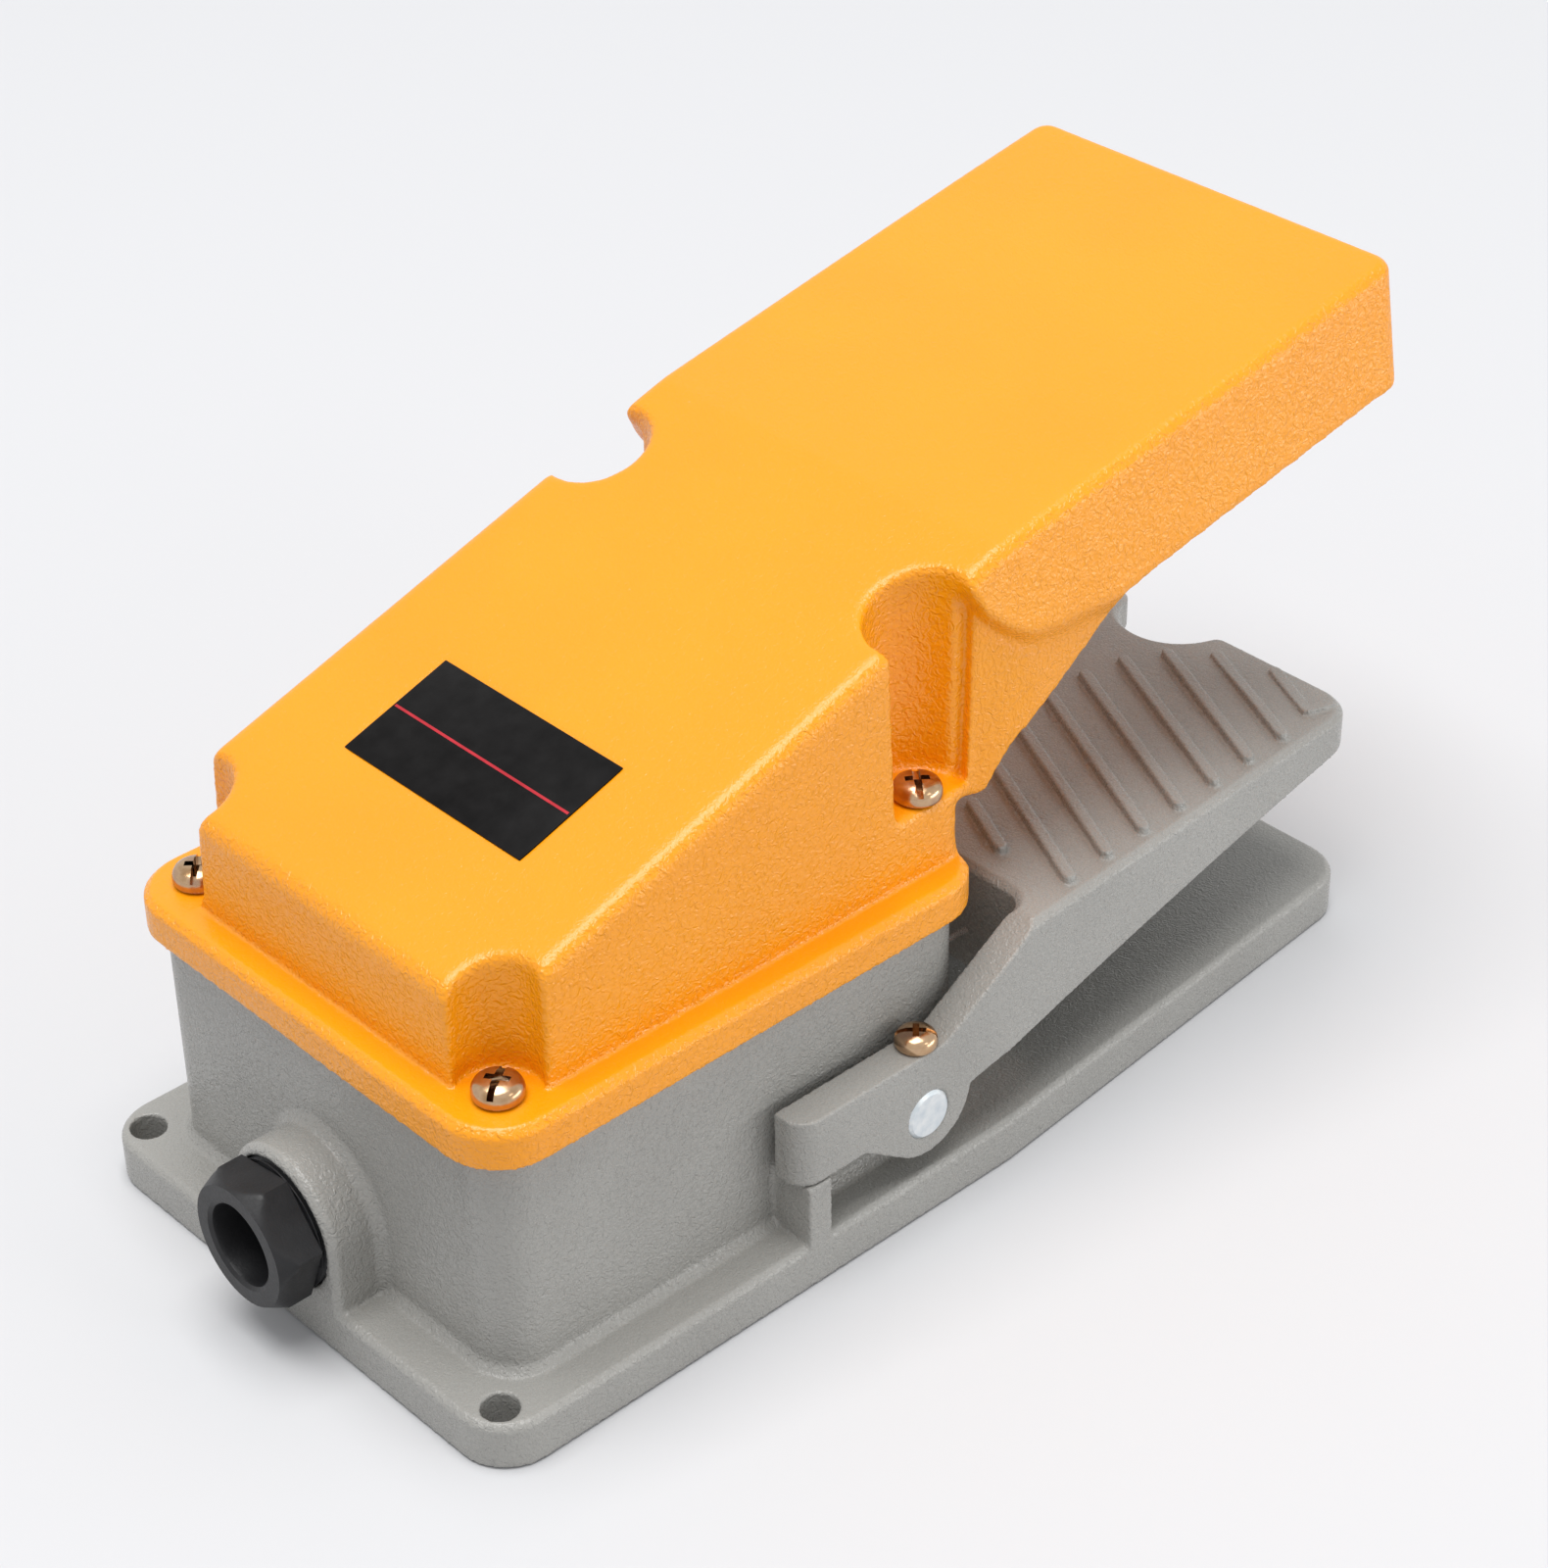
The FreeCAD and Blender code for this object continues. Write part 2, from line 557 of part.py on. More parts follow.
def make_under_hood():
    """Everything ahead of the cover's front wall and below the edge line of webs and skirts."""
    wall = vec(0, COVER_FRONT, FLANGE_TOP + WEB_START_RISE)
    foot = vec(0, wall.y - WEB_FOOT, wall.z)
    bend = vec(0, foot.y - WEB_BEND_RUN, foot.z + WEB_BEND_RISE)
    skirt = COVER_FRONT - WEB_REACH
    lip = vec(0, skirt, front_roof(skirt) - SKIRT_DEPTH)
    far = HOOD_FRONT - OVERCUT
    toe = vec(0, far, front_roof(far) - SKIRT_DEPTH)
    curve = Part.Arc(foot, bend, lip).toShape()
    corners = [lip, toe, vec(0, far, 0), vec(0, COVER_FRONT, 0), wall, foot]
    edges = [curve] + [Part.makeLine(a, b) for a, b in zip(corners[:-1], corners[1:])]
    face = Part.Face(Part.Wire(edges))
    face.translate(vec(-BASE_WIDTH, 0, 0))
    return face.extrude(vec(2 * BASE_WIDTH, 0, 0))


def make_web_corner(height):
    """What is taken off outside the webs so that they curve in to the front screw wells."""
    half = SKIRT_HALF
    start = vec(half, COVER_FRONT - WEB_TURN_LENGTH, 0)
    end = vec(half - WEB_TURN_DEPTH, COVER_FRONT, 0)
    rear = vec(half - 3 * WEB_TURN_DEPTH, COVER_FRONT + WEB_TURN_LENGTH, 0)
    turn = Part.Arc(start, end, rear).toShape()
    far = vec(half + WEB_TURN_LENGTH, rear.y, 0)
    near = vec(far.x, start.y, 0)
    edges = [turn, Part.makeLine(rear, far), Part.makeLine(far, near), Part.makeLine(near, start)]
    return both_sides(Part.Face(Part.Wire(edges)).extrude(vec(0, 0, height)))


def make_top_cover():
    top = roof_height(HOOD_FRONT) + OVERCUT
    flange = rounded_block(FLANGE_HALF, FLANGE_REAR, FLANGE_FRONT, FLANGE_BOTTOM, FLANGE_TOP,
                           BOX_CORNER_R + FLANGE_OVERHANG)
    flange = chamfer(flange, FLANGE_EDGE, lambda e: middle(e).z > FLANGE_TOP - 1e-6)
    body = tapered_body(COVER_HALF, COVER_REAR, COVER_FRONT, FLANGE_TOP - ROOT, front_roof(COVER_FRONT),
                        COVER_DRAFT, COVER_CORNER_R)
    hood = hood_form(0, 0, HOOD_FRONT, FRONT_SCREW_Y)
    corners = [e for e in hood.Edges if abs(middle(e).y - HOOD_FRONT) < 1e-6
               and abs(e.Vertexes[0].Z - e.Vertexes[-1].Z) > 1]
    hood = hood.makeFillet(HOOD_FRONT_R, corners).cut(make_web_corner(top))
    near, far = FLANGE_REAR + OVERCUT, HOOD_FRONT - OVERCUT
    under_roof = side_prism([(near, 0), (near, roof_height(near)), (CREASE_Y, CREASE_HEIGHT),
                             (far, roof_height(far)), (far, 0)], -BASE_WIDTH, BASE_WIDTH)
    shell = join([body, hood]).common(under_roof)
    roof_edges = [e for e in shell.Edges if abs(middle(e).z - roof_height(middle(e).y)) < 1e-3
                  and abs(middle(e).x) > HOOD_HALF - COVER_WALL]
    shell = shell.makeChamfer(ROOF_EDGE, roof_edges)

    columns = [Part.makeCylinder(radius + WELL_WALL, top, vec(x, y, 0)) for x, y, _, radius in screw_places()]
    columns = Part.makeCompound(columns)
    foot_space = hood_form(COVER_WALL, HOOD_ROOF_THICKNESS, far, COVER_FRONT).cut(columns)
    wells = []
    for x, y, seat, radius in screw_places():
        wells.append(Part.makeCone(radius - WELL_DRAFT, radius, top - seat, vec(x, y, seat)))
    shell = shell.cut(Part.makeCompound(wells + [make_under_hood()])).cut(foot_space)
    shell = join([flange, shell])

    cavity_outer = tapered_body(COVER_HALF - COVER_WALL, COVER_REAR - COVER_WALL, COVER_FRONT + COVER_WALL,
                                GASKET_TOP, front_roof(COVER_FRONT) - HOOD_ROOF_THICKNESS,
                                COVER_DRAFT, COVER_CORNER_R)
    below = under_roof.copy()
    below.translate(vec(0, 0, -HOOD_ROOF_THICKNESS))
    cavity = cavity_outer.common(below).cut(columns)
    hole_r = SCREW_HOLE_D / 2 / math.cos(math.pi / SHANK_SIDES)
    holes = [prism(hole_r, SHANK_SIDES, x, y, 0, top) for x, y, _, _ in screw_places()]
    recess = rounded_block(BOX_WIDTH / 2 + COVER_FIT, BOX_REAR + COVER_FIT, BOX_FRONT - COVER_FIT,
                           FLANGE_BOTTOM, GASKET_TOP, BOX_CORNER_R + COVER_FIT)
    plate_seat = place_on_roof(Part.makeBox(PLATE_WIDTH, PLATE_LENGTH, PLATE_RECESS + OVERCUT,
                                            vec(-PLATE_WIDTH / 2, 0, -PLATE_RECESS)))
    return single(shell.cut(Part.makeCompound([cavity, recess, plate_seat] + holes)))


def place_on_roof(shape):
    """Turns a flat shape at the origin onto the rear roof, its near end at the plate's rear end."""
    turned = shape.copy()
    turned.rotate(vec(0, 0, 0), Z_AXIS, 180)
    turned.rotate(vec(0, 0, 0), X_AXIS, -math.degrees(math.atan(REAR_ROOF_SLOPE)))
    turned.translate(vec(0, PLATE_Y, roof_height(PLATE_Y)))
    return turned


def make_rating_plate():
    plate = Part.makeBox(PLATE_WIDTH, PLATE_LENGTH, PLATE_THICKNESS, vec(-PLATE_WIDTH / 2, 0, -PLATE_RECESS))
    return place_on_roof(plate)


def make_cover_gasket():
    """Flat rubber frame on the box's rim, outside the screws."""
    outer = rounded_block(BOX_WIDTH / 2, BOX_REAR, BOX_FRONT, BOX_HEIGHT, GASKET_TOP, BOX_CORNER_R)
    inner = rounded_block(BOX_WIDTH / 2 - GASKET_WIDTH, BOX_REAR - GASKET_WIDTH, BOX_FRONT + GASKET_WIDTH,
                          BOX_HEIGHT, GASKET_TOP, BOX_CORNER_R - GASKET_WIDTH)
    return single(outer.cut(inner))


def make_cover_screws():
    screws = []
    for x, y, seat, _ in screw_places():
        length = seat - BOX_HEIGHT + SCREW_GRIP
        screws.append(pan_screw(x, y, seat, SCREW_HEAD_D, SCREW_HEAD_H, SCREW_D, length))
    return Part.makeCompound(screws)


def make_gland_nut():
    back = REAR_Y + GLAND_GAP
    corner = GLAND_HEX / math.sqrt(3)
    points = []
    for step in range(6):
        angle = math.radians(GLAND_TURN + 60 * step)
        points.append(vec(corner * math.cos(angle), back, GLAND_HEIGHT + corner * math.sin(angle)))
    hexagon = polygon(points).extrude(vec(0, GLAND_HEX_LENGTH, 0))
    crown = corner - GLAND_CROWN
    spread = GLAND_HEX_LENGTH * math.tan(math.radians(GLAND_CROWN_ANGLE))
    dome = Part.makeCone(crown + spread, crown, GLAND_HEX_LENGTH, vec(0, back, GLAND_HEIGHT), Y_AXIS)
    shank = faceted_rod(GLAND_BORE_D / 2, RING_SIDES, vec(0, back - GLAND_GAP - GLAND_THREAD, GLAND_HEIGHT),
                        vec(0, back, GLAND_HEIGHT))
    bore = rod(GLAND_HOLE_D / 2, vec(0, back - GLAND_GAP - GLAND_THREAD, GLAND_HEIGHT),
               vec(0, back + GLAND_HEX_LENGTH, GLAND_HEIGHT))
    return single(join([hexagon.common(dome), shank]).cut(bore))


def make_gland_seal():
    start = BOX_REAR - BOX_WALL + GLAND_SHOULDER
    return seal_ring(GLAND_BORE_D / 2, GLAND_HOLE_D / 2, vec(0, start, GLAND_HEIGHT),
                     vec(0, start + GLAND_SEAL_LENGTH, GLAND_HEIGHT))


def make_gland_washer():
    start = BOX_REAR - BOX_WALL + GLAND_SHOULDER + GLAND_SEAL_LENGTH
    return seal_ring(GLAND_BORE_D / 2, GLAND_HOLE_D / 2, vec(0, start, GLAND_HEIGHT),
                     vec(0, REAR_Y - GLAND_THREAD, GLAND_HEIGHT))


def make_bush(side):
    outer = BOX_WIDTH / 2 - SEAL_LENGTH
    start = vec(side * outer, PIVOT_Y, PIVOT_HEIGHT)
    end = vec(side * (outer - BUSH_LENGTH), PIVOT_Y, PIVOT_HEIGHT)
    bore = rod(SHAFT_D / 2 + RUNNING_CLEARANCE, start, end)
    return faceted_rod(BUSH_D / 2, RING_SIDES, start, end).cut(bore)


def make_shaft_seals():
    face = BOX_WIDTH / 2
    seals = []
    for side in SIDES:
        seals.append(seal_ring(BUSH_D / 2, SHAFT_D / 2 + RUNNING_CLEARANCE,
                               vec(side * (face - SEAL_LENGTH), PIVOT_Y, PIVOT_HEIGHT),
                               vec(side * face, PIVOT_Y, PIVOT_HEIGHT)))
    return Part.makeCompound(seals)


def make_pivot_shaft():
    reach = PEDAL_HALF + SHAFT_PROUD
    shaft = rod(SHAFT_D / 2, vec(-reach, PIVOT_Y, PIVOT_HEIGHT), vec(reach, PIVOT_Y, PIVOT_HEIGHT))
    ends = [edge for edge in shaft.Edges if abs(abs(middle(edge).x) - reach) < 1e-6]
    return shaft.makeChamfer(SHAFT_END_CHAMFER, ends)


def pedal_top(y):
    return PEDAL_HEIGHT - PEDAL_FALL * (FORK_Y - y)


def tread_rib(x, y, length, heading):
    """One raised rib of the tread from its outer end, at a heading in degrees from +X."""
    low = -ROOT
    slab = Part.makeBox(length, TREAD_WIDTH, TREAD_HEIGHT - low, vec(0, -TREAD_WIDTH / 2, low))
    ends = [prism(TREAD_WIDTH / 2, 2 * TREAD_FACETS, end, 0, low, TREAD_HEIGHT) for end in (0, length)]
    rib = join([slab] + ends)
    rib.rotate(vec(0, 0, 0), Z_AXIS, heading)
    rib.rotate(vec(0, 0, 0), X_AXIS, math.degrees(math.atan(PEDAL_FALL)))
    rib.translate(vec(x, y, pedal_top(y)))
    return rib


def make_tread():
    """The ribs on one half: a row of long ones, a hooked mark at the toe corner and a short one behind."""
    first = PEDAL_FRONT + TREAD_TOE_INSET
    slant = 180 + TREAD_SLANT
    ribs = []
    rear = FORK_Y - TREAD_REAR_SETBACK
    for row in range(1 + int((rear - first) / TREAD_PITCH)):
        y = first + TREAD_PITCH * row
        length = TREAD_LONGEST - TREAD_SHORTENING * (row - TREAD_LONGEST_ROW) ** 2
        ribs.append(tread_rib(half_width(y) - TREAD_EDGE_GAP, y, length, slant))
    toe = first - TREAD_PITCH
    toe_x = half_width(toe) - TREAD_EDGE_GAP - TREAD_TOE_STEP
    ribs.append(tread_rib(toe_x, toe, TREAD_END_LENGTH, slant))
    ribs.append(tread_rib(toe_x, toe, TREAD_HOOK_LENGTH, -TREAD_HOOK_SLANT))
    rear_x = half_width(rear) - TREAD_EDGE_GAP - TREAD_END_LENGTH
    ribs.append(tread_rib(rear_x, rear, TREAD_END_LENGTH, slant))
    return ribs


def make_pedal_side():
    """The pedal's side view over its whole width: tail, hub, rising arms, plate and curved skirt."""
    past_tail = TAIL_END + OVERCUT
    past_toe = PEDAL_FRONT - OVERCUT
    skirt_start = PIVOT_Y - HUB_R + ROOT
    middle_y = (PEDAL_FRONT + skirt_start) / 2
    foot = vec(0, skirt_start, SKIRT_FOOT_HEIGHT)
    toe_low = vec(0, past_toe, SKIRT_TOE_HEIGHT)
    arc = Part.Arc(toe_low, vec(0, middle_y, SKIRT_MID_HEIGHT), foot).toShape()
    corners = [foot, vec(0, skirt_start, TAIL_BOTTOM), vec(0, past_tail, TAIL_BOTTOM),
               vec(0, past_tail, TAIL_TOP), vec(0, RISE_START, TAIL_TOP),
               vec(0, RISE_END, pedal_top(RISE_END)), vec(0, past_toe, pedal_top(past_toe)), toe_low]
    lines = [Part.makeLine(a, b) for a, b in zip(corners[:-1], corners[1:])]
    side_face = Part.Face(Part.Wire([arc] + lines))
    side_face.translate(vec(-PEDAL_HALF, 0, 0))
    body = side_face.extrude(vec(2 * PEDAL_HALF, 0, 0))
    hub_centre = PIVOT_HEIGHT + HUB_RAISE
    hub = rod(HUB_R, vec(-PEDAL_HALF, PIVOT_Y, hub_centre), vec(PEDAL_HALF, PIVOT_Y, hub_centre))
    turn = math.radians(HUB_FOOT_ANGLE)
    hub_foot = side_prism([(PIVOT_Y, TAIL_BOTTOM), (PIVOT_Y + HUB_R + HUB_FOOT, TAIL_BOTTOM),
                           (PIVOT_Y + HUB_R * math.cos(turn), hub_centre - HUB_R * math.sin(turn))],
                          -PEDAL_HALF, PEDAL_HALF)
    return join([body, hub, hub_foot])


def make_pedal_plan(top):
    """The pedal's plan: tapered to the toe, with the toe notch and the fork that clears the box."""
    toe = half_width(PEDAL_FRONT) - PEDAL_SIDE
    plan = plan_prism([(-PEDAL_HALF, TAIL_END), (-PEDAL_HALF, TAPER_Y), (-toe, PEDAL_FRONT),
                       (toe, PEDAL_FRONT), (PEDAL_HALF, TAPER_Y), (PEDAL_HALF, TAIL_END)], 0, top)
    plan = fillet(plan, PEDAL_CORNER_R, lambda e: is_upright(e) and abs(middle(e).y - PEDAL_FRONT) < 1)
    plan = fillet(plan, TAIL_CORNER_R, lambda e: is_upright(e) and abs(middle(e).y - TAIL_END) < 1)
    plan = plan.cut(Part.makeCylinder(NOTCH_R, top, vec(0, PEDAL_FRONT, 0)))
    plan = fillet(plan, NOTCH_LIP_R, lambda e: is_upright(e) and abs(middle(e).y - PEDAL_FRONT) < 1
                  and abs(middle(e).x) < NOTCH_R + 1)
    fork = fillet(block(-ARM_INNER, ARM_INNER, FORK_Y, TAIL_END + OVERCUT, 0, top), FORK_CORNER_R,
                  lambda e: is_upright(e) and abs(middle(e).y - FORK_Y) < 1)
    return plan.cut(fork)


def pedal_profile(y):
    """Height of the pedal's upper side at Y: plate, rising arms and tails."""
    share = (RISE_START - y) / ARM_RISE_LENGTH
    if share >= 1:
        return pedal_top(y)
    return TAIL_TOP + max(share, 0) * (pedal_top(RISE_END) - TAIL_TOP)


def on_pedal_rim(edge):
    """Whether an edge runs round the pedal plate's upper side, in front of the rise."""
    points = [middle(edge), edge.Vertexes[0].Point, edge.Vertexes[-1].Point]
    across = abs(points[1].y - points[2].y) < 1e-6 and points[0].y > PEDAL_FRONT + 1
    ahead = max(p.y for p in points) < RISE_END + 0.01
    return ahead and not across and all(abs(p.z - pedal_profile(p.y)) < 0.02 for p in points)


def make_pedal_hollow(top):
    """Room under the plate, with ribs across it and a wall round the toe notch."""
    front = PEDAL_FRONT + PEDAL_WALL
    rear = FORK_Y - PEDAL_WALL
    wide = half_width(rear) - PEDAL_WALL
    narrow = half_width(front) - PEDAL_WALL
    room = plan_prism([(-wide, rear), (-narrow, front), (narrow, front), (wide, rear)], 0, top)
    room = fillet(room, PEDAL_CORNER_R - PEDAL_WALL, is_upright)
    room = room.cut(Part.makeCylinder(NOTCH_R + PEDAL_WALL, top, vec(0, PEDAL_FRONT, 0)))
    room = room.common(side_prism([(FORK_Y, 0), (FORK_Y, pedal_top(FORK_Y) - PEDAL_PLATE),
                                   (PEDAL_FRONT, pedal_top(PEDAL_FRONT) - PEDAL_PLATE), (PEDAL_FRONT, 0)],
                                  -PEDAL_HALF, PEDAL_HALF))
    for rib in range(1, PEDAL_RIBS + 1):
        y = rear - rib * (rear - front) / (PEDAL_RIBS + 1)
        low = pedal_top(y) - PEDAL_PLATE - PEDAL_RIB_DEPTH
        room = room.cut(block(-PEDAL_HALF, PEDAL_HALF, y - PEDAL_RIB / 2, y + PEDAL_RIB / 2, low, top))
    return room


def make_pedal():
    top = 2 * PEDAL_HEIGHT
    solid = make_pedal_side().common(make_pedal_plan(top))
    solid = chamfer(solid, PEDAL_EDGE, on_pedal_rim).cut(make_pedal_hollow(top))
    cuts = []
    for side in SIDES:
        cuts.append(rod(SHAFT_D / 2, vec(side * (ARM_INNER - OVERCUT), PIVOT_Y, PIVOT_HEIGHT),
                        vec(side * (PEDAL_HALF + OVERCUT), PIVOT_Y, PIVOT_HEIGHT)))
        cuts.append(tapped_hole(SET_SCREW_D, side * (ARM_INNER + ARM_THICKNESS / 2), PIVOT_Y,
                                TAIL_TOP, TAIL_TOP - PIVOT_HEIGHT))
    solid = solid.cut(Part.makeCompound(cuts))
    treads = make_tread()
    return single(join([solid] + treads + [mirrored(rib) for rib in treads]))


def make_pedal_set_screws():
    screws = []
    for side in SIDES:
        x = side * (ARM_INNER + ARM_THICKNESS / 2)
        length = TAIL_TOP - PIVOT_HEIGHT - SHAFT_D / 2
        screws.append(pan_screw(x, PIVOT_Y, TAIL_TOP, SET_HEAD_D, SET_HEAD_H, SET_SCREW_D, length))
    return Part.makeCompound(screws)


def make_actuator_cam():
    left = -CAM_WIDTH / 2
    right = CAM_WIDTH / 2
    centre = PIVOT_HEIGHT
    hub = faceted_rod(CAM_HUB_R, RING_SIDES, vec(left - CAM_COLLAR, PIVOT_Y, centre),
                      vec(right, PIVOT_Y, centre))
    nose = faceted_rod(CAM_NOSE_R, RING_SIDES, vec(left, PIVOT_Y, PLUNGER_HEIGHT),
                       vec(right, PIVOT_Y, PLUNGER_HEIGHT))
    arm = block(left, right, PIVOT_Y - CAM_NOSE_R, PIVOT_Y + CAM_NOSE_R, PLUNGER_HEIGHT, centre)
    bore = rod(SHAFT_D / 2, vec(left - CAM_COLLAR, PIVOT_Y, centre), vec(right, PIVOT_Y, centre))
    tapping = tapped_hole(SET_SCREW_D, 0, PIVOT_Y, centre + CAM_HUB_R, CAM_HUB_R)
    swing = SPRING_R * math.radians(PEDAL_STROKE) + CAM_GAP
    wire = SPRING_WIRE_D / 2
    slot = block(left - CAM_COLLAR, left, PIVOT_Y, PIVOT_Y + 2 * CAM_HUB_R,
                 centre - wire - swing, centre + wire + CAM_GAP)
    flat = centre + CAM_HUB_R - CAM_FLAT
    seat = block(-SET_HEAD_D, SET_HEAD_D, PIVOT_Y - CAM_HUB_R, PIVOT_Y + CAM_HUB_R, flat, flat + CAM_HUB_R)
    return single(join([hub, nose, arm]).cut(Part.makeCompound([bore, tapping, slot, seat])))


def make_cam_set_screw():
    seat = PIVOT_HEIGHT + CAM_HUB_R - CAM_FLAT
    length = seat - PIVOT_HEIGHT - SHAFT_D / 2
    return plain_screw(0, PIVOT_Y, seat, SET_HEAD_D, SET_HEAD_H, SET_SCREW_D, length)


def wire_section(centre, outward, along, wire_d):
    """Closed outline across a wire, with few sides."""
    points = []
    for side in range(WIRE_SIDES):
        turn = 2 * math.pi * (side + 0.5) / WIRE_SIDES
        points.append(centre + (outward * math.cos(turn) + along * math.sin(turn)) * (wire_d / 2))
    return Part.makePolygon(points + [points[0]])


def coil_sections(radius, wire_d, turns, pitch, start, along, across):
    """Outlines along a wire that is wound from start along an axis, its ends on the across side."""
    side = along.cross(across)
    sections = []
    for step in range(turns * COIL_STEPS + 1):
        angle = 2 * math.pi * step / COIL_STEPS
        outward = across * math.cos(angle) + side * math.sin(angle)
        centre = start + outward * radius + along * (pitch * step / COIL_STEPS)
        sections.append(wire_section(centre, outward, along, wire_d))
    return sections


def wire_run(points, wire_d, across):
    """Outlines along a bent wire: each lies in the plane that halves its bend."""
    sections = []
    for index, point in enumerate(points):
        before = point - points[max(index - 1, 0)]
        after = points[min(index + 1, len(points) - 1)] - point
        heading = vec(0, 0, 0)
        for run in (before, after):
            if run.Length > 0:
                heading += run.normalize()
        outward = across.cross(heading).normalize()
        sections.append(wire_section(point, outward, across, wire_d))
    return Part.makeLoft(sections, True, True)


def spring_end_x():
    """X of the return spring's outer end, beside the bush's boss."""
    return -(BOX_WIDTH / 2 - BUSH_LENGTH - SEAL_LENGTH - SPRING_WIRE_D)


def make_return_spring():
    end = spring_end_x()
    begin = end + SPRING_TURNS * SPRING_PITCH
    rear = PIVOT_Y + SPRING_R
    start = vec(begin, PIVOT_Y, PIVOT_HEIGHT)
    winding = Part.makeLoft(coil_sections(SPRING_R, SPRING_WIRE_D, SPRING_TURNS, SPRING_PITCH,
                                          start, vec(-1, 0, 0), Y_AXIS), True, True)
    drive = wire_run([vec(begin - SPRING_WIRE_D / 2, rear, PIVOT_HEIGHT),
                      vec(-CAM_WIDTH / 2 - CAM_GAP, rear, PIVOT_HEIGHT)], SPRING_WIRE_D, Z_AXIS)
    held = wire_run([vec(end, rear, PIVOT_HEIGHT - SPRING_WIRE_D / 2), vec(end, rear, LEG_HEIGHT)],
                    SPRING_WIRE_D, X_AXIS)
    across = wire_run([vec(end, rear, LEG_HEIGHT - SPRING_WIRE_D / 2), vec(-SCREW_X, LEG_BEND_Y, LEG_HEIGHT),
                       vec(-SCREW_X, BOX_FRONT - LEG_PROUD, LEG_HEIGHT)], SPRING_WIRE_D, Z_AXIS)
    return single(join([winding, drive, held, across]))


def make_switch_body():
    half = BLOCK_WIDTH / 2
    solid = block(-half, half, BLOCK_FRONT, BLOCK_REAR, BOX_FLOOR, BLOCK_TOP)
    ears = block(-half - EAR_REACH, half + EAR_REACH, BLOCK_MIDDLE - EAR_LENGTH / 2,
                 BLOCK_MIDDLE + EAR_LENGTH / 2, BOX_FLOOR, BOX_FLOOR + EAR_HEIGHT)
    chamber = block(-CHAMBER_WIDTH / 2, CHAMBER_WIDTH / 2, CHAMBER_FRONT, CHAMBER_REAR,
                    BOX_FLOOR + CHAMBER_FLOOR, BLOCK_TOP)
    mouth = faceted_rod(PLUNGER_R + RUNNING_CLEARANCE, PLAIN_SIDES, vec(0, BLOCK_FRONT, PLUNGER_HEIGHT),
                        vec(0, CHAMBER_FRONT, PLUNGER_HEIGHT))
    guide = faceted_rod(STEM_R + RUNNING_CLEARANCE, PLAIN_SIDES, vec(0, CHAMBER_REAR, PLUNGER_HEIGHT),
                        vec(0, SHOULDER_Y + STEM_LENGTH + PLUNGER_TRAVEL + OVERCUT, PLUNGER_HEIGHT))
    cuts = [chamber, mouth, guide]
    for side in SIDES:
        cuts.append(tapped_hole(SET_SCREW_D, side * EAR_X, BLOCK_MIDDLE, BOX_FLOOR + EAR_HEIGHT, EAR_HEIGHT))
        cuts.append(tapped_hole(TERMINAL_D, side * CONTACT_OFFSET, TERMINAL_Y, BLOCK_TOP, TERMINAL_TAP))
        left, right = contact_sides(side)
        cuts.append(block(left, right, CHAMBER_REAR, BLOCK_REAR, BLOCK_TOP - CONTACT_THICKNESS, BLOCK_TOP))
    return single(join([solid, ears]).cut(Part.makeCompound(cuts)))


def contact_sides(side):
    return side * CONTACT_OFFSET - CONTACT_WIDTH / 2, side * CONTACT_OFFSET + CONTACT_WIDTH / 2


def make_fixed_contacts():
    strips = []
    for side in SIDES:
        left, right = contact_sides(side)
        upright = block(left, right, CONTACT_FRONT, CONTACT_FRONT + CONTACT_THICKNESS,
                        PLUNGER_HEIGHT - BRIDGE_HEIGHT / 2, BLOCK_TOP)
        level = block(left, right, CONTACT_FRONT, BLOCK_REAR, BLOCK_TOP - CONTACT_THICKNESS, BLOCK_TOP)
        hole = tapped_hole(TERMINAL_D, side * CONTACT_OFFSET, TERMINAL_Y, BLOCK_TOP, CONTACT_THICKNESS)
        strips.append(single(join([upright, level]).cut(hole)))
    return Part.makeCompound(strips)


def make_switch_lid():
    half = BLOCK_WIDTH / 2
    lid = block(-half, half, BLOCK_FRONT, BLOCK_FRONT + LID_LENGTH, BLOCK_TOP, BLOCK_TOP + LID_THICKNESS)
    return fillet(lid, LID_EDGE_R, lambda e: middle(e).z > BLOCK_TOP + LID_THICKNESS - 1e-6)


def make_terminal_screws():
    return Part.makeCompound([plain_screw(side * CONTACT_OFFSET, TERMINAL_Y, BLOCK_TOP, TERMINAL_HEAD_D,
                                          TERMINAL_HEAD_H, TERMINAL_D, TERMINAL_GRIP) for side in SIDES])


def make_switch_mounting_screws():
    return Part.makeCompound([plain_screw(side * EAR_X, BLOCK_MIDDLE, BOX_FLOOR + EAR_HEIGHT, SET_HEAD_D,
                                          SET_HEAD_H, SET_SCREW_D, EAR_HEIGHT + EAR_SCREW_GRIP)
                              for side in SIDES])


def make_earth_screw():
    return plain_screw(EARTH_X, EARTH_Y, EARTH_POST_HEIGHT, SET_HEAD_D, SET_HEAD_H, SET_SCREW_D, EARTH_GRIP)


def make_switch_plunger():
    collar_front = CHAMBER_FRONT + COLLAR_GAP
    runs = [(PLUNGER_R, BLOCK_FRONT - PLUNGER_OUT, SHOULDER_Y),
            (PLUNGER_R + COLLAR_STEP, collar_front, collar_front + COLLAR_LENGTH),
            (STEM_R, SHOULDER_Y, SHOULDER_Y + STEM_LENGTH)]
    return single(join([faceted_rod(radius, PLAIN_SIDES, vec(0, front, PLUNGER_HEIGHT),
                                    vec(0, rear, PLUNGER_HEIGHT)) for radius, front, rear in runs]))


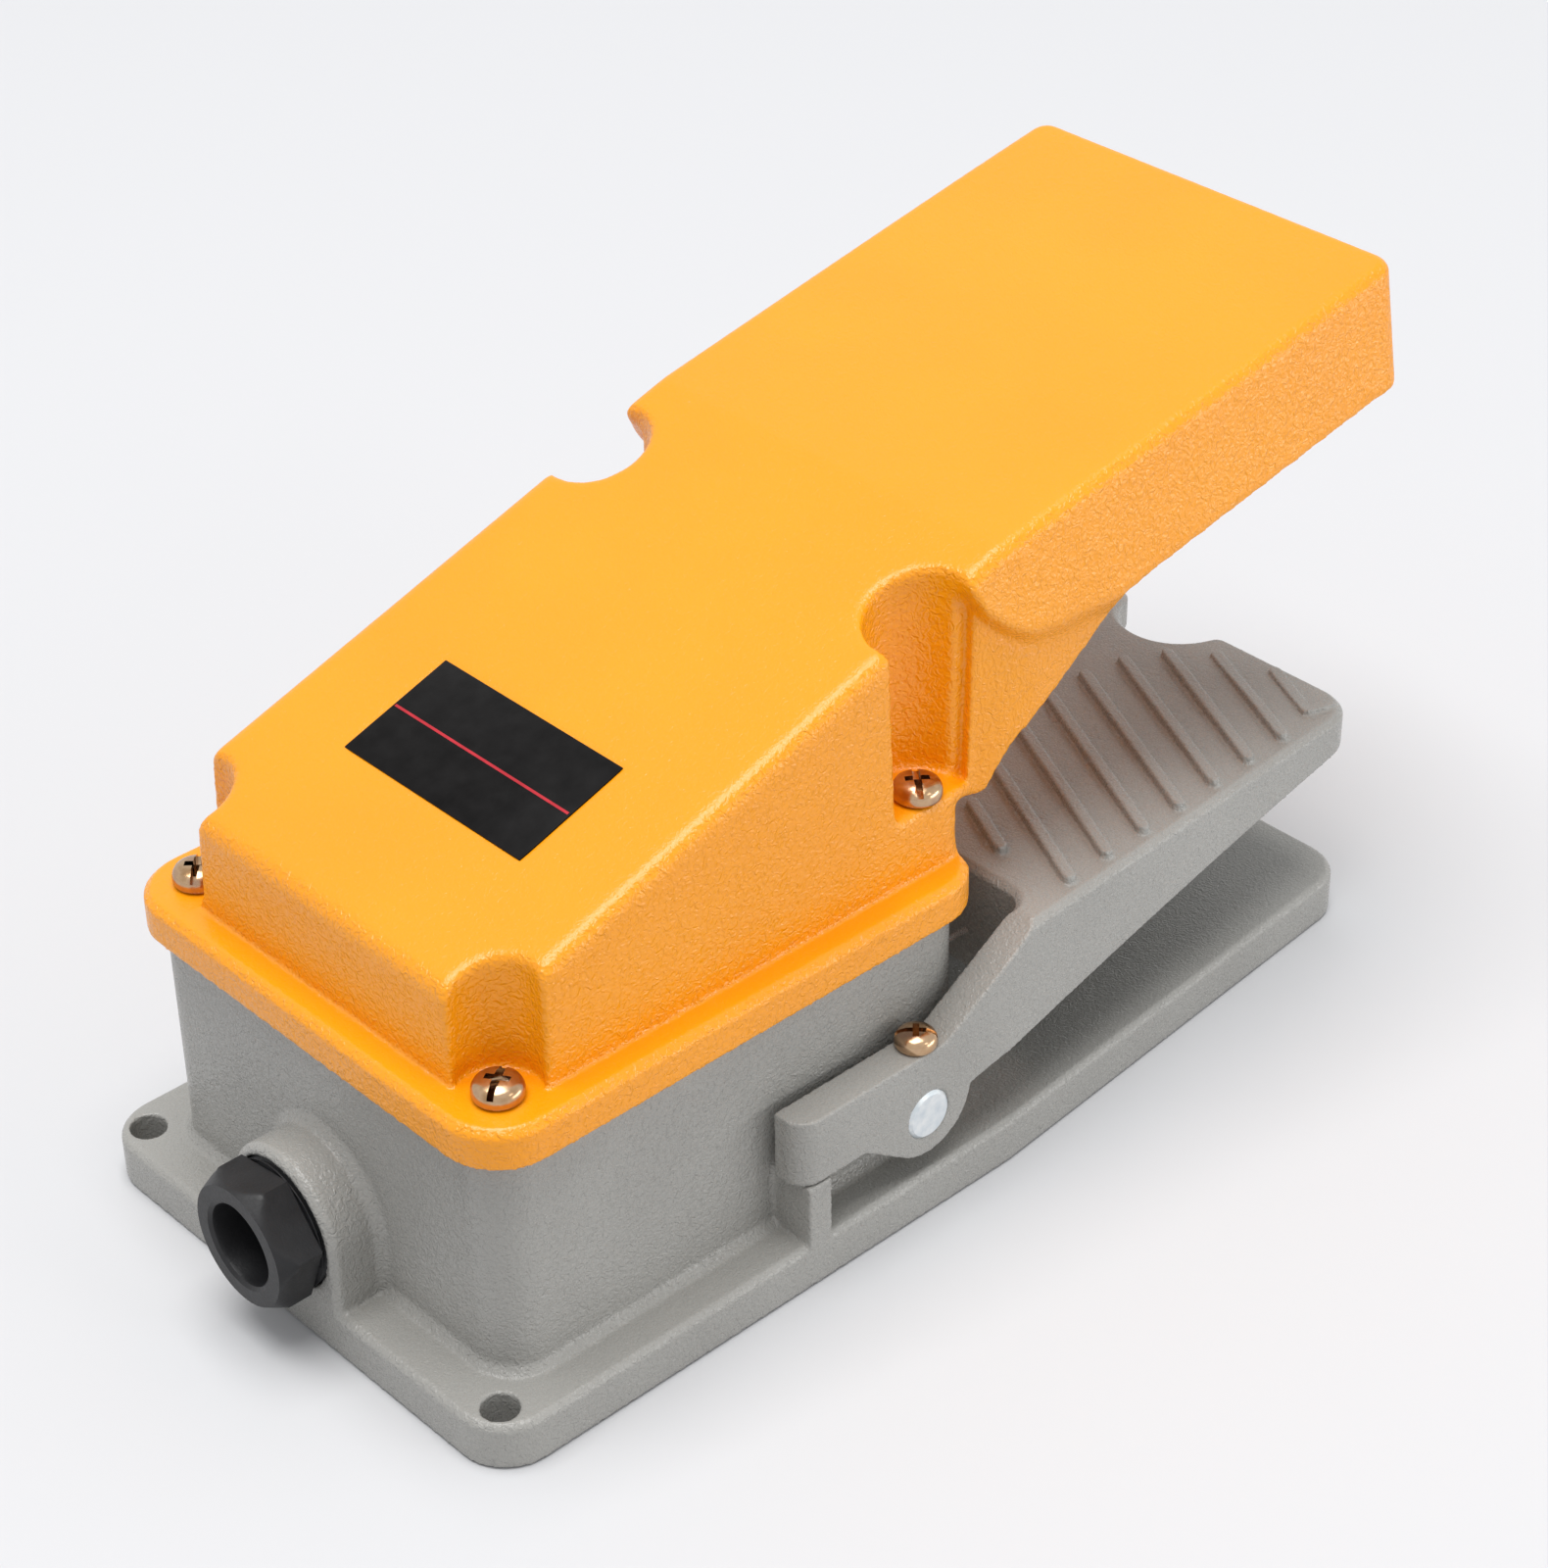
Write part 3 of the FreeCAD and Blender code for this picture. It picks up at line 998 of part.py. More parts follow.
def make_contact_bridge():
    bar = block(-BRIDGE_LENGTH / 2, BRIDGE_LENGTH / 2, SHOULDER_Y, BRIDGE_REAR,
                PLUNGER_HEIGHT - BRIDGE_HEIGHT / 2, PLUNGER_HEIGHT + BRIDGE_HEIGHT / 2)
    return bar.cut(faceted_rod(STEM_R, PLAIN_SIDES, vec(0, SHOULDER_Y, PLUNGER_HEIGHT),
                               vec(0, BRIDGE_REAR, PLUNGER_HEIGHT)))


def make_plunger_spring():
    start = BRIDGE_REAR + PLUNGER_SPRING_WIRE / 2
    end = CHAMBER_REAR - PLUNGER_SPRING_WIRE / 2 - PLUNGER_TRAVEL - CAM_GAP
    pitch = (end - start) / PLUNGER_SPRING_TURNS
    return Part.makeLoft(coil_sections(PLUNGER_SPRING_R, PLUNGER_SPRING_WIRE, PLUNGER_SPRING_TURNS, pitch,
                                       vec(0, start, PLUNGER_HEIGHT), Y_AXIS, X_AXIS), True, True)


PIECES = {
    "lower_housing": make_lower_housing,
    "top_cover": make_top_cover,
    "cover_gasket": make_cover_gasket,
    "cover_screws": make_cover_screws,
    "rating_plate": make_rating_plate,
    "gland_nut": make_gland_nut,
    "gland_washer": make_gland_washer,
    "gland_seal": make_gland_seal,
    "shaft_bush_left": lambda: make_bush(-1),
    "shaft_bush_right": lambda: make_bush(1),
    "shaft_seals": make_shaft_seals,
    "pivot_shaft": make_pivot_shaft,
    "pedal": make_pedal,
    "pedal_set_screws": make_pedal_set_screws,
    "actuator_cam": make_actuator_cam,
    "cam_set_screw": make_cam_set_screw,
    "return_spring": make_return_spring,
    "switch_body": make_switch_body,
    "switch_lid": make_switch_lid,
    "switch_mounting_screws": make_switch_mounting_screws,
    "switch_plunger": make_switch_plunger,
    "contact_bridge": make_contact_bridge,
    "plunger_spring": make_plunger_spring,
    "fixed_contacts": make_fixed_contacts,
    "terminal_screws": make_terminal_screws,
    "earth_screw": make_earth_screw,
}

os.makedirs("parts", exist_ok=True)
for name, make in PIECES.items():
    shape = make()
    shape.exportStep("parts/%s.step" % name)
    print(name, "solids", len(shape.Solids), "volume", round(shape.Volume, 1), "valid", shape.isValid())
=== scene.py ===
"""Studio scene of the industrial foot switch: cast skins, screws, gland, rating plate, light and camera."""

import math

import bmesh
import bpy
from mathutils import Matrix, Vector


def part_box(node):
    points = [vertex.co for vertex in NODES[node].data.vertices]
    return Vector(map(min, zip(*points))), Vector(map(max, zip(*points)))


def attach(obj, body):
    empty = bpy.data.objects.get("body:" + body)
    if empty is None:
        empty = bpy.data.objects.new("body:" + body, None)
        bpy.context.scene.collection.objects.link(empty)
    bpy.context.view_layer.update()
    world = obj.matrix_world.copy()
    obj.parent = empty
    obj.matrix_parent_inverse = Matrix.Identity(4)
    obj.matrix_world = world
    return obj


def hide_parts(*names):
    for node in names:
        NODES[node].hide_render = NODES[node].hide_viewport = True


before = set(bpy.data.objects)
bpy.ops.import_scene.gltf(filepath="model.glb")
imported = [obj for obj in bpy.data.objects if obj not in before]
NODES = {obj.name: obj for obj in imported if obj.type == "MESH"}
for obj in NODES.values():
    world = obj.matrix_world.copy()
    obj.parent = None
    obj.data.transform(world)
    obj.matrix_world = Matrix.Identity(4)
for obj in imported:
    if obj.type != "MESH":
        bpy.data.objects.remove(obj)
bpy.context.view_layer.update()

MM = 0.001


# Materials

def new_material(name):
    """An empty node material: returns it with its tree, shader and object coordinates."""
    material = bpy.data.materials.new(name)
    material.use_nodes = True
    tree = material.node_tree
    tree.nodes.clear()
    output = tree.nodes.new("ShaderNodeOutputMaterial")
    shader = tree.nodes.new("ShaderNodeBsdfPrincipled")
    tree.links.new(shader.outputs["BSDF"], output.inputs["Surface"])
    where = tree.nodes.new("ShaderNodeTexCoord").outputs["Object"]
    return material, tree, shader, where


def noise(tree, where, scale, detail=2.0, roughness=0.5, distortion=0.0):
    node = tree.nodes.new("ShaderNodeTexNoise")
    node.inputs["Scale"].default_value = scale
    node.inputs["Distortion"].default_value = distortion
    node.inputs["Detail"].default_value = detail
    node.inputs["Roughness"].default_value = roughness
    tree.links.new(where, node.inputs["Vector"])
    return node.outputs["Fac"]


def ramp(tree, value, stops):
    """Colour ramp over a value, from (position, colour) stops."""
    node = tree.nodes.new("ShaderNodeValToRGB")
    elements = node.color_ramp.elements
    while len(elements) < len(stops):
        elements.new(0.5)
    for element, (position, colour) in zip(elements, stops):
        element.position = position
        element.color = (*colour, 1.0)
    tree.links.new(value, node.inputs["Fac"])
    return node.outputs["Color"]


def remap(tree, value, low, high, start=0.0, end=1.0):
    node = tree.nodes.new("ShaderNodeMapRange")
    node.inputs["From Min"].default_value = start
    node.inputs["From Max"].default_value = end
    node.inputs["To Min"].default_value = low
    node.inputs["To Max"].default_value = high
    tree.links.new(value, node.inputs["Value"])
    return node.outputs["Result"]


def bump(tree, height, distance, below=None):
    node = tree.nodes.new("ShaderNodeBump")
    node.inputs["Distance"].default_value = distance
    node.inputs["Strength"].default_value = 1.0
    tree.links.new(height, node.inputs["Height"])
    if below is not None:
        tree.links.new(below, node.inputs["Normal"])
    return node.outputs["Normal"]


def upward(tree):
    """How squarely the surface faces up, where the coat has levelled before it set."""
    shape = tree.nodes.new("ShaderNodeNewGeometry")
    parts = tree.nodes.new("ShaderNodeSeparateXYZ")
    tree.links.new(shape.outputs["Normal"], parts.inputs["Vector"])
    return parts.outputs["Z"]


LEVEL_FROM = 0.75        # upward part of the normal where the coat starts to level
LEVEL_TO = 0.92
SPECK_SCALE = 2.6        # the fine specks against the worms, in frequency and in depth
SPECK_DEPTH = 0.18


def powder_coat(name, light, dark, roughness, grain, depth, gloss, level):
    """Textured powder coat: orange-peel worms, levelled on top faces, under a fine grain."""
    material, tree, shader, where = new_material(name)
    patches = noise(tree, where, 30.0, 3.0)
    tree.links.new(ramp(tree, patches, [(0.35, dark), (0.65, light)]), shader.inputs["Base Color"])
    worms = noise(tree, where, grain, 1.0, 0.4, 1.2)
    specks = noise(tree, where, grain * SPECK_SCALE, 2.0, 0.6)
    coarse = bump(tree, worms, depth)
    levelled = remap(tree, upward(tree), 1.0, level, LEVEL_FROM, LEVEL_TO)
    tree.links.new(levelled, coarse.node.inputs["Strength"])
    tree.links.new(bump(tree, specks, depth * SPECK_DEPTH, coarse), shader.inputs["Normal"])
    tree.links.new(remap(tree, specks, roughness - 0.05, roughness + 0.07), shader.inputs["Roughness"])
    shader.inputs["Specular IOR Level"].default_value = gloss
    return material


def metal(name, stops, roughness, scale, scratches=0.0):
    """Plated or bare metal whose colour drifts between the stops."""
    material, tree, shader, where = new_material(name)
    drift = noise(tree, where, scale, 3.0)
    tree.links.new(ramp(tree, drift, stops), shader.inputs["Base Color"])
    shader.inputs["Metallic"].default_value = 1.0
    fine = noise(tree, where, scale * 9.0, 3.0, 0.65)
    tree.links.new(remap(tree, fine, roughness - 0.08, roughness + 0.12), shader.inputs["Roughness"])
    if scratches:
        tree.links.new(bump(tree, fine, scratches), shader.inputs["Normal"])
    return material


def plastic(name, colour, roughness, grain, depth, gloss=0.4):
    material, tree, shader, where = new_material(name)
    shader.inputs["Specular IOR Level"].default_value = gloss
    cloud = noise(tree, where, grain * 0.1, 3.0)
    paler = tuple(c * 1.5 + 0.004 for c in colour)
    tree.links.new(ramp(tree, cloud, [(0.3, colour), (0.75, paler)]), shader.inputs["Base Color"])
    fine = noise(tree, where, grain, 2.0, 0.6)
    tree.links.new(bump(tree, fine, depth), shader.inputs["Normal"])
    tree.links.new(remap(tree, fine, roughness - 0.07, roughness + 0.1), shader.inputs["Roughness"])
    return material


YELLOW = powder_coat("yellow_coat", (0.93, 0.342, 0.003), (0.91, 0.328, 0.003),
                     roughness=0.2, grain=820.0, depth=0.00042, gloss=0.5, level=0.22)
GREY = powder_coat("grey_coat", (0.36, 0.352, 0.328), (0.325, 0.317, 0.295),
                   roughness=0.26, grain=1000.0, depth=0.00034, gloss=0.45, level=0.55)
ZINC = metal("zinc_screw", [(0.3, (0.40, 0.24, 0.12)), (0.5, (0.56, 0.38, 0.23)), (0.7, (0.42, 0.26, 0.18))],
             0.2, 260.0, 0.00001)
BRIGHT = metal("bright_steel", [(0.3, (0.62, 0.68, 0.72)), (0.7, (0.8, 0.83, 0.84))], 0.42, 500.0, 0.00002)
SPRING = metal("spring_steel", [(0.3, (0.5, 0.5, 0.5)), (0.7, (0.66, 0.66, 0.65))], 0.25, 800.0)
BRONZE = metal("bush_bronze", [(0.3, (0.5, 0.3, 0.12)), (0.7, (0.6, 0.4, 0.2))], 0.45, 600.0, 0.00002)
CONTACT = metal("contact_brass", [(0.3, (0.7, 0.5, 0.2)), (0.7, (0.78, 0.6, 0.3))], 0.3, 500.0)
BLACK = plastic("black_plastic", (0.010, 0.010, 0.011), 0.42, 1800.0, 0.00004, 0.35)
RUBBER = plastic("seal_rubber", (0.014, 0.014, 0.014), 0.7, 1400.0, 0.00005)
SWITCH = plastic("switch_plastic", (0.05, 0.047, 0.044), 0.5, 1500.0, 0.00003)
FILM = plastic("plate_black", (0.004, 0.0035, 0.0035), 0.34, 2600.0, 0.000012, 0.08)
LINE = plastic("plate_line", (0.4, 0.02, 0.03), 0.35, 2600.0, 0.00001, 0.2)

CAD_FINISH = {
    "cover_gasket": RUBBER, "gland_seal": RUBBER, "shaft_seals": RUBBER, "gland_washer": BLACK,
    "pivot_shaft": BRIGHT, "actuator_cam": BRIGHT, "return_spring": SPRING, "plunger_spring": SPRING,
    "shaft_bush_left": BRONZE, "shaft_bush_right": BRONZE, "switch_body": SWITCH, "switch_lid": SWITCH,
    "switch_plunger": SWITCH, "contact_bridge": CONTACT, "fixed_contacts": CONTACT, "terminal_screws": ZINC,
    "switch_mounting_screws": ZINC, "earth_screw": ZINC, "cam_set_screw": ZINC,
}


def finish_node(node, material):
    """Gives a carried-over CAD node its finish."""
    mesh = NODES[node].data
    mesh.materials.clear()
    mesh.materials.append(material)


# Mesh helpers

def object_from(name, build, material, smooth=True):
    """A new object whose mesh the build function fills."""
    work = bmesh.new()
    build(work)
    bmesh.ops.recalc_face_normals(work, faces=work.faces)
    mesh = bpy.data.meshes.new(name)
    work.to_mesh(mesh)
    work.free()
    for polygon in mesh.polygons:
        polygon.use_smooth = smooth
    mesh.materials.append(material)
    piece = bpy.data.objects.new(name, mesh)
    bpy.context.scene.collection.objects.link(piece)
    return piece


def cut_away(piece, cutters):
    for number, cutter in enumerate(cutters):
        cut = piece.modifiers.new("cut%d" % number, "BOOLEAN")
        cut.operation = "DIFFERENCE"
        cut.solver = "EXACT"
        cut.object = cutter


def bake(piece):
    """Turns the object's modifiers into its mesh."""
    bpy.context.view_layer.update()
    graph = bpy.context.evaluated_depsgraph_get()
    mesh = bpy.data.meshes.new_from_object(piece.evaluated_get(graph))
    piece.modifiers.clear()
    piece.data = mesh


def band(work, lower, upper):
    """Faces between two rings of vertices."""
    count = len(lower)
    for step in range(count):
        after = (step + 1) % count
        work.faces.new((lower[step], lower[after], upper[after], upper[step]))


def revolve(work, profile, segments, place):
    """Turned skin from a (radius, height) profile about local Z, moved by a matrix."""
    rings = []
    for radius, height in profile:
        ring = []
        for step in range(segments):
            angle = 2 * math.pi * step / segments
            point = Vector((radius * math.cos(angle), radius * math.sin(angle), height))
            ring.append(work.verts.new(place @ point))
        rings.append(ring)
    for lower, upper in zip(rings[:-1], rings[1:]):
        band(work, lower, upper)


# Cast skins

# Slant of the remeshing cells, and what the skins keep of their edges and faces
TILT = Matrix.Rotation(0.61, 4, "X") @ Matrix.Rotation(0.43, 4, "Y") @ Matrix.Rotation(0.71, 4, "Z")
SMOOTHING = 0.5
KEEP_FACES = 0.35

# The cover's web in side view, as (y, z) in mm: its cutter and the lip of the skirt above it
WEB_EDGE = ((-5.0, 60.0), (-5.0, 76.3), (-9.9, 76.3), (-10.9, 77.0), (-12.8, 80.3), (-15.4, 83.8),
            (-17.2, 85.6), (-19.5, 87.5), (-22.0, 89.3), (-24.9, 91.3), (-27.6, 93.2), (-30.3, 95.1),
            (-35.2, 98.8), (-40.2, 102.5), (-44.6, 104.7), (-48.5, 105.6), (-52.0, 106.2), (-52.0, 60.0))
LIP = ((-56.0, 104.0), (-50.0, 104.6), (-44.4, 105.2), (-34.8, 105.3), (-28.5, 105.2), (-22.1, 106.0),
       (-19.0, 107.0), (-14.5, 109.8), (-9.5, 114.4), (-5.7, 121.0))
LIP_BLEND = 2.6 * MM
WEB_INNER = 41.0 * MM
WEB_OUTER = 60.0 * MM
WEB_BLEND = 4.0 * MM
WEB_LOW = 72.0 * MM
WEB_REAR = -5.7 * MM
WEB_REAR_BLEND = 1.5 * MM
WEB_FRONT = -56.0 * MM
WEB_FRONT_BLEND = 10.0 * MM
WEB_SHIFT = Vector((3.0, -3.3, -2.7)) * MM      # inward, forward and down, along the photo's line of sight

# The tread's plane, and how far its ribs are made up
TREAD_Z = 51.7
TREAD_Y = -17.5
TREAD_FALL = 0.03
RIB_REAR = -18.0 * MM
RIB_CLEAR = 0.1 * MM
RIB_GAIN = 0.7
RIB_TOE = -108.0 * MM
RIB_TOE_BLEND = 10.0 * MM

# Where the cover's edges are rounded, and how much of it the toe, the hood and the wells get
WEAR_LOW = 66.0 * MM
WEAR_LOW_BLEND = 3.0 * MM
WEAR_TOE = 0.1
WEAR_HOOD = 0.2
WEAR_WELLS = 0.7
HOOD_TOE = -117.0 * MM
HOOD_TOE_BLEND = 8.0 * MM
WELLS_FRONT = -13.0 * MM
WELLS_BLEND = 9.0 * MM


def ease(share):
    """Smooth step from 0 to 1."""
    share = min(max(share, 0.0), 1.0)
    return share * share * (3 - 2 * share)


def lip_height(y):
    """Height of the skirt's lip at a place along the hood, or None away from the web."""
    for (far_y, far_z), (near_y, near_z) in zip(LIP, LIP[1:]):
        if far_y * MM <= y <= near_y * MM:
            return (far_z + (near_z - far_z) * (y / MM - far_y) / (near_y - far_y)) * MM
    return None


def set_web_in(mesh):
    """The web stands back from the flared skirt, under the skirt's rounded lip."""
    for vertex in mesh.vertices:
        place = vertex.co
        lip = lip_height(place.y)
        if lip is None or place.z < WEB_LOW:
            continue
        share = (ease((lip - place.z) / LIP_BLEND)
                 * ease((abs(place.x) - WEB_INNER) / WEB_BLEND)
                 * ease((WEB_REAR - place.y) / WEB_REAR_BLEND)
                 * ease((place.y - WEB_FRONT) / WEB_FRONT_BLEND))
        if share > 0:
            inward = 1 if place.x < 0 else -1
            vertex.co = place + Vector((inward * WEB_SHIFT.x, WEB_SHIFT.y, WEB_SHIFT.z)) * share


def raise_ribs(mesh):
    """The tread's ribs, made up for what the softening takes off them."""
    for vertex in mesh.vertices:
        place = vertex.co
        tread = (TREAD_Z + TREAD_FALL * (place.y / MM - TREAD_Y)) * MM
        if place.y < RIB_REAR and place.z > tread + RIB_CLEAR:
            gain = 1 + RIB_GAIN * ease((place.y - RIB_TOE) / RIB_TOE_BLEND)
            place.z = tread + (place.z - tread) * gain


def cover_wear(place):
    """How far the cover's edges are rounded: most at the walls and wells, not at all on the flange."""
    along = (WEAR_TOE + WEAR_HOOD * ease((place.y - HOOD_TOE) / HOOD_TOE_BLEND)
             + WEAR_WELLS * ease((place.y - WELLS_FRONT) / WELLS_BLEND))
    return ease((place.z - WEAR_LOW) / WEAR_LOW_BLEND) * along


def smooth_over(piece, name, rounds, group=""):
    soften = piece.modifiers.new(name, "SMOOTH")
    soften.factor = SMOOTHING
    soften.iterations = rounds
    soften.vertex_group = group


def cast_skin(node, body, material, cell, rounds, wear=None, wear_rounds=0, trims=(), shape=None):
    """Skin of a cast part: the CAD shape remeshed finely, with its edges worn round.

    The cells are laid at a slant, so that no edge runs nearly along them and comes out stepped."""
    piece = bpy.data.objects.new(node + "_skin", NODES[node].data.copy())
    bpy.context.scene.collection.objects.link(piece)
    if trims:
        cut_away(piece, trims)
        bake(piece)
    piece.data.transform(TILT)
    remesh = piece.modifiers.new("cells", "REMESH")
    remesh.mode = "VOXEL"
    remesh.voxel_size = cell * 1.0
    remesh.use_smooth_shade = True
    bake(piece)
    piece.data.transform(TILT.inverted())
    if shape:
        shape(piece.data)
    smooth_over(piece, "edges", rounds)
    if wear:
        group = piece.vertex_groups.new(name="worn")
        for vertex in piece.data.vertices:
            share = wear(vertex.co)
            if share > 0:
                group.add([vertex.index], share, "REPLACE")
        smooth_over(piece, "rims", wear_rounds, "worn")
    thin = piece.modifiers.new("fewer", "DECIMATE")
    thin.ratio = KEEP_FACES
    bake(piece)
    piece.data.materials.clear()
    piece.data.materials.append(material)
    for polygon in piece.data.polygons:
        polygon.use_smooth = True
    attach(piece, body)
    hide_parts(node)


def web_trim(side):
    """Cutter that shapes the web's edge and its blunt foot on one side of the cover."""
    def build(work):
        near, far = [[work.verts.new((side * x, y * MM, z * MM)) for y, z in WEB_EDGE]
                     for x in (WEB_INNER, WEB_OUTER)]
        work.faces.new(near)
        work.faces.new(far[::-1])
        band(work, far, near)
    return object_from("web_trim", build, YELLOW, False)


trims = [web_trim(side) for side in (-1, 1)]
cast_skin("top_cover", "base", YELLOW, 0.45 * MM, 3, cover_wear, 70, trims, set_web_in)
for trim in trims:
    bpy.data.objects.remove(trim)
cast_skin("lower_housing", "base", GREY, 0.42 * MM, 3)
cast_skin("pedal", "pedal_assembly", GREY, 0.33 * MM, 3, shape=raise_ribs)


# Pan head screws with a cross and a slot

POLE = 0.0001 * MM
HEAD_SEGMENTS = 48
# Profile of a pan head above its seat, as shares of its radius and height
HEAD_PROFILE = ((0.88, 0.0), (0.96, 0.08), (1.0, 0.22), (1.0, 0.42), (0.97, 0.58), (0.88, 0.77),
                (0.7, 0.9), (0.45, 0.98))
# Slot, then the two bars of the cross: angle, half width and reach in radii, depth and taper
DRIVE = ((0.0, 0.125, 1.2, 0.42, 1.0), (0.0, 0.15, 0.55, 0.85, 0.55), (math.pi / 2, 0.15, 0.55, 0.85, 0.55))
DRIVE_TOP = 1.3
HEAD_EDGE = 0.12 * MM


def pan_head(work, radius, height, shank, length, place):
    head = [(radius * out, height * up) for out, up in HEAD_PROFILE]
    profile = [(POLE, -length), (shank, -length), (shank, 0.0)] + head + [(POLE, height)]
    revolve(work, profile, HEAD_SEGMENTS, place)


def recess(work, radius, height, place, bar):
    """Cutter for one bar of the drive."""
    angle, half, reach, depth, taper = bar
    turn = place @ Matrix.Rotation(angle, 4, "Z")
    low, high = [[work.verts.new(turn @ Vector((x * radius * reach * share, y * radius * half, z)))
                  for x, y in ((-1, -1), (1, -1), (1, 1), (-1, 1))]
                 for z, share in ((height * (1 - depth), taper), (height * DRIVE_TOP, 1.0))]
    work.faces.new(low[::-1])
    work.faces.new(high)
    band(work, low, high)


def screw_set(node, body, places, radius, height, shank, length):
    """Detailed screws in place of a CAD node, each turned its own way."""
    for number, (x, y, z, turn) in enumerate(places):
        place = Matrix.Translation((x, y, z)) @ Matrix.Rotation(turn, 4, "Z")
        name = "%s_%d" % (node, number + 1)
        screw = object_from(name, lambda work: pan_head(work, radius, height, shank, length, place), ZINC)
        cutters = [object_from(name + "_cut", lambda work: recess(work, radius, height, place, bar),
                               ZINC, False) for bar in DRIVE]
        cut_away(screw, cutters)
        soft = screw.modifiers.new("edges", "BEVEL")
        soft.width = HEAD_EDGE
        soft.segments = 2
        soft.limit_method = "ANGLE"
        soft.angle_limit = math.radians(35)
        bake(screw)
        for cutter in cutters:
            bpy.data.objects.remove(cutter)
        shade_by_angle(screw, 40)
        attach(screw, body)
        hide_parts(node)


def shade_by_angle(piece, degrees):
    """Smooth shading with the edges above an angle kept sharp."""
    work = bmesh.new()
    work.from_mesh(piece.data)
    limit = math.radians(degrees)
    for edge in work.edges:
        edge.smooth = len(edge.link_faces) == 2 and edge.calc_face_angle(0.0) < limit
    for face in work.faces:
        face.smooth = True
    work.to_mesh(piece.data)
    work.free()


def screw_seats(node, head_height):
    """Axis and seat of each screw, read from the node's separate solids."""
    work = bmesh.new()
    work.from_mesh(NODES[node].data)
    bmesh.ops.remove_doubles(work, verts=work.verts, dist=1e-6)
    seats = []
    left = set(work.verts)
    while left:
        stack = [left.pop()]
        island = list(stack)
        while stack:
            for edge in stack.pop().link_edges:
                for vert in edge.verts:
                    if vert in left:
                        left.remove(vert)
                        stack.append(vert)
                        island.append(vert)
        lows = [min(v.co[i] for v in island) for i in range(3)]
        highs = [max(v.co[i] for v in island) for i in range(3)]
        seats.append(((lows[0] + highs[0]) / 2, (lows[1] + highs[1]) / 2, highs[2] - head_height))
    work.free()
    return sorted(seats)


# Head radius, height in the CAD, height of the dome shown here, shank radius and length
COVER_SCREW = (4.65 * MM, 2.9 * MM, 4.0 * MM, 2.45 * MM, 10.0 * MM)
ARM_SCREW = (4.0 * MM, 2.6 * MM, 3.5 * MM, 1.95 * MM, 8.0 * MM)
COVER_TURNS = (143.0, 123.5, 60.0, 135.0)
ARM_TURNS = (225.0, 20.0)

for node, body, screw_size, turns in (("cover_screws", "base", COVER_SCREW, COVER_TURNS),
                                      ("pedal_set_screws", "pedal_assembly", ARM_SCREW, ARM_TURNS)):
    radius, cad_height, height, shank, length = screw_size
    places = [(*seat, math.radians(turn)) for seat, turn in zip(screw_seats(node, cad_height), turns)]
    screw_set(node, body, places, radius, height, shank, length)


# Cable gland

GLAND_HEIGHT = 22.1 * MM
GLAND_BACK = 117.8 * MM
GLAND_HEX = 24.0 * MM
GLAND_LENGTH = 8.6 * MM
GLAND_BORE = 8.0 * MM
GLAND_THREAD_R = 12.75 * MM
GLAND_ROOT_R = 12.0 * MM
THREAD_PITCH = 1.5 * MM
GLAND_TURN = math.radians(9.0)


def gland_place():
    """Local Z runs out along +Y from the gland's axis."""
    return Matrix.Translation((0.0, GLAND_BACK, GLAND_HEIGHT)) @ Matrix.Rotation(-math.pi / 2, 4, "X")


def build_gland(work):
    place = gland_place()
    corner = GLAND_HEX / math.sqrt(3)
    segments = 96
    rings = []

    def hex_radius(angle):
        step = math.pi / 3
        return GLAND_HEX / 2 / math.cos((angle % step) - step / 2)

    def ring(height, rule):
        made = []
        for step in range(segments):
            angle = 2 * math.pi * step / segments
            radius = rule(angle)
            made.append(work.verts.new(place @ Vector((radius * math.cos(angle + GLAND_TURN),
                                                      radius * math.sin(angle + GLAND_TURN), height))))
        rings.append(made)

    bottom = -7.0 * MM
    ring(bottom, lambda a: GLAND_BORE)
    height = bottom
    while height < -0.3 * MM:
        ring(height, lambda a: GLAND_ROOT_R)
        ring(height + THREAD_PITCH * 0.45, lambda a: GLAND_THREAD_R)
        ring(height + THREAD_PITCH * 0.6, lambda a: GLAND_THREAD_R)
        height += THREAD_PITCH
    ring(-0.1 * MM, lambda a: GLAND_ROOT_R)
    ring(0.0, lambda a: hex_radius(a) - 0.3 * MM)
    ring(0.25 * MM, hex_radius)
    for share in range(9):
        height = GLAND_LENGTH * (0.55 + 0.45 * share / 8)
        limit = corner - (height - GLAND_LENGTH * 0.6) * 0.55
        ring(height, lambda a, limit=limit: min(hex_radius(a), limit))
    ring(GLAND_LENGTH, lambda a: GLAND_BORE + 1.0 * MM)
    ring(GLAND_LENGTH - 0.5 * MM, lambda a: GLAND_BORE + 0.2 * MM)
    ring(GLAND_LENGTH - 1.2 * MM, lambda a: GLAND_BORE)
    rings.append(rings[0])
    for lower, upper in zip(rings[:-1], rings[1:]):
        band(work, lower, upper)


gland = object_from("gland_nut_moulded", build_gland, BLACK)
shade_by_angle(gland, 28)
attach(gland, "base")
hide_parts("gland_nut")


# Rating plate, left blank but for its coloured line

def build_plate():
    source = NODES["rating_plate"]
    piece = bpy.data.objects.new("rating_plate_film", source.data.copy())
    bpy.context.scene.collection.objects.link(piece)
    weld = piece.modifiers.new("weld", "WELD")
    weld.merge_threshold = 1e-6
    edge = piece.modifiers.new("edge", "BEVEL")
    edge.width = 0.09 * MM
    edge.segments = 3
    edge.limit_method = "ANGLE"
    bake(piece)
    piece.data.materials.clear()
    piece.data.materials.append(FILM)
    shade_by_angle(piece, 40)
    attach(piece, "base")
    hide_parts("rating_plate")


build_plate()

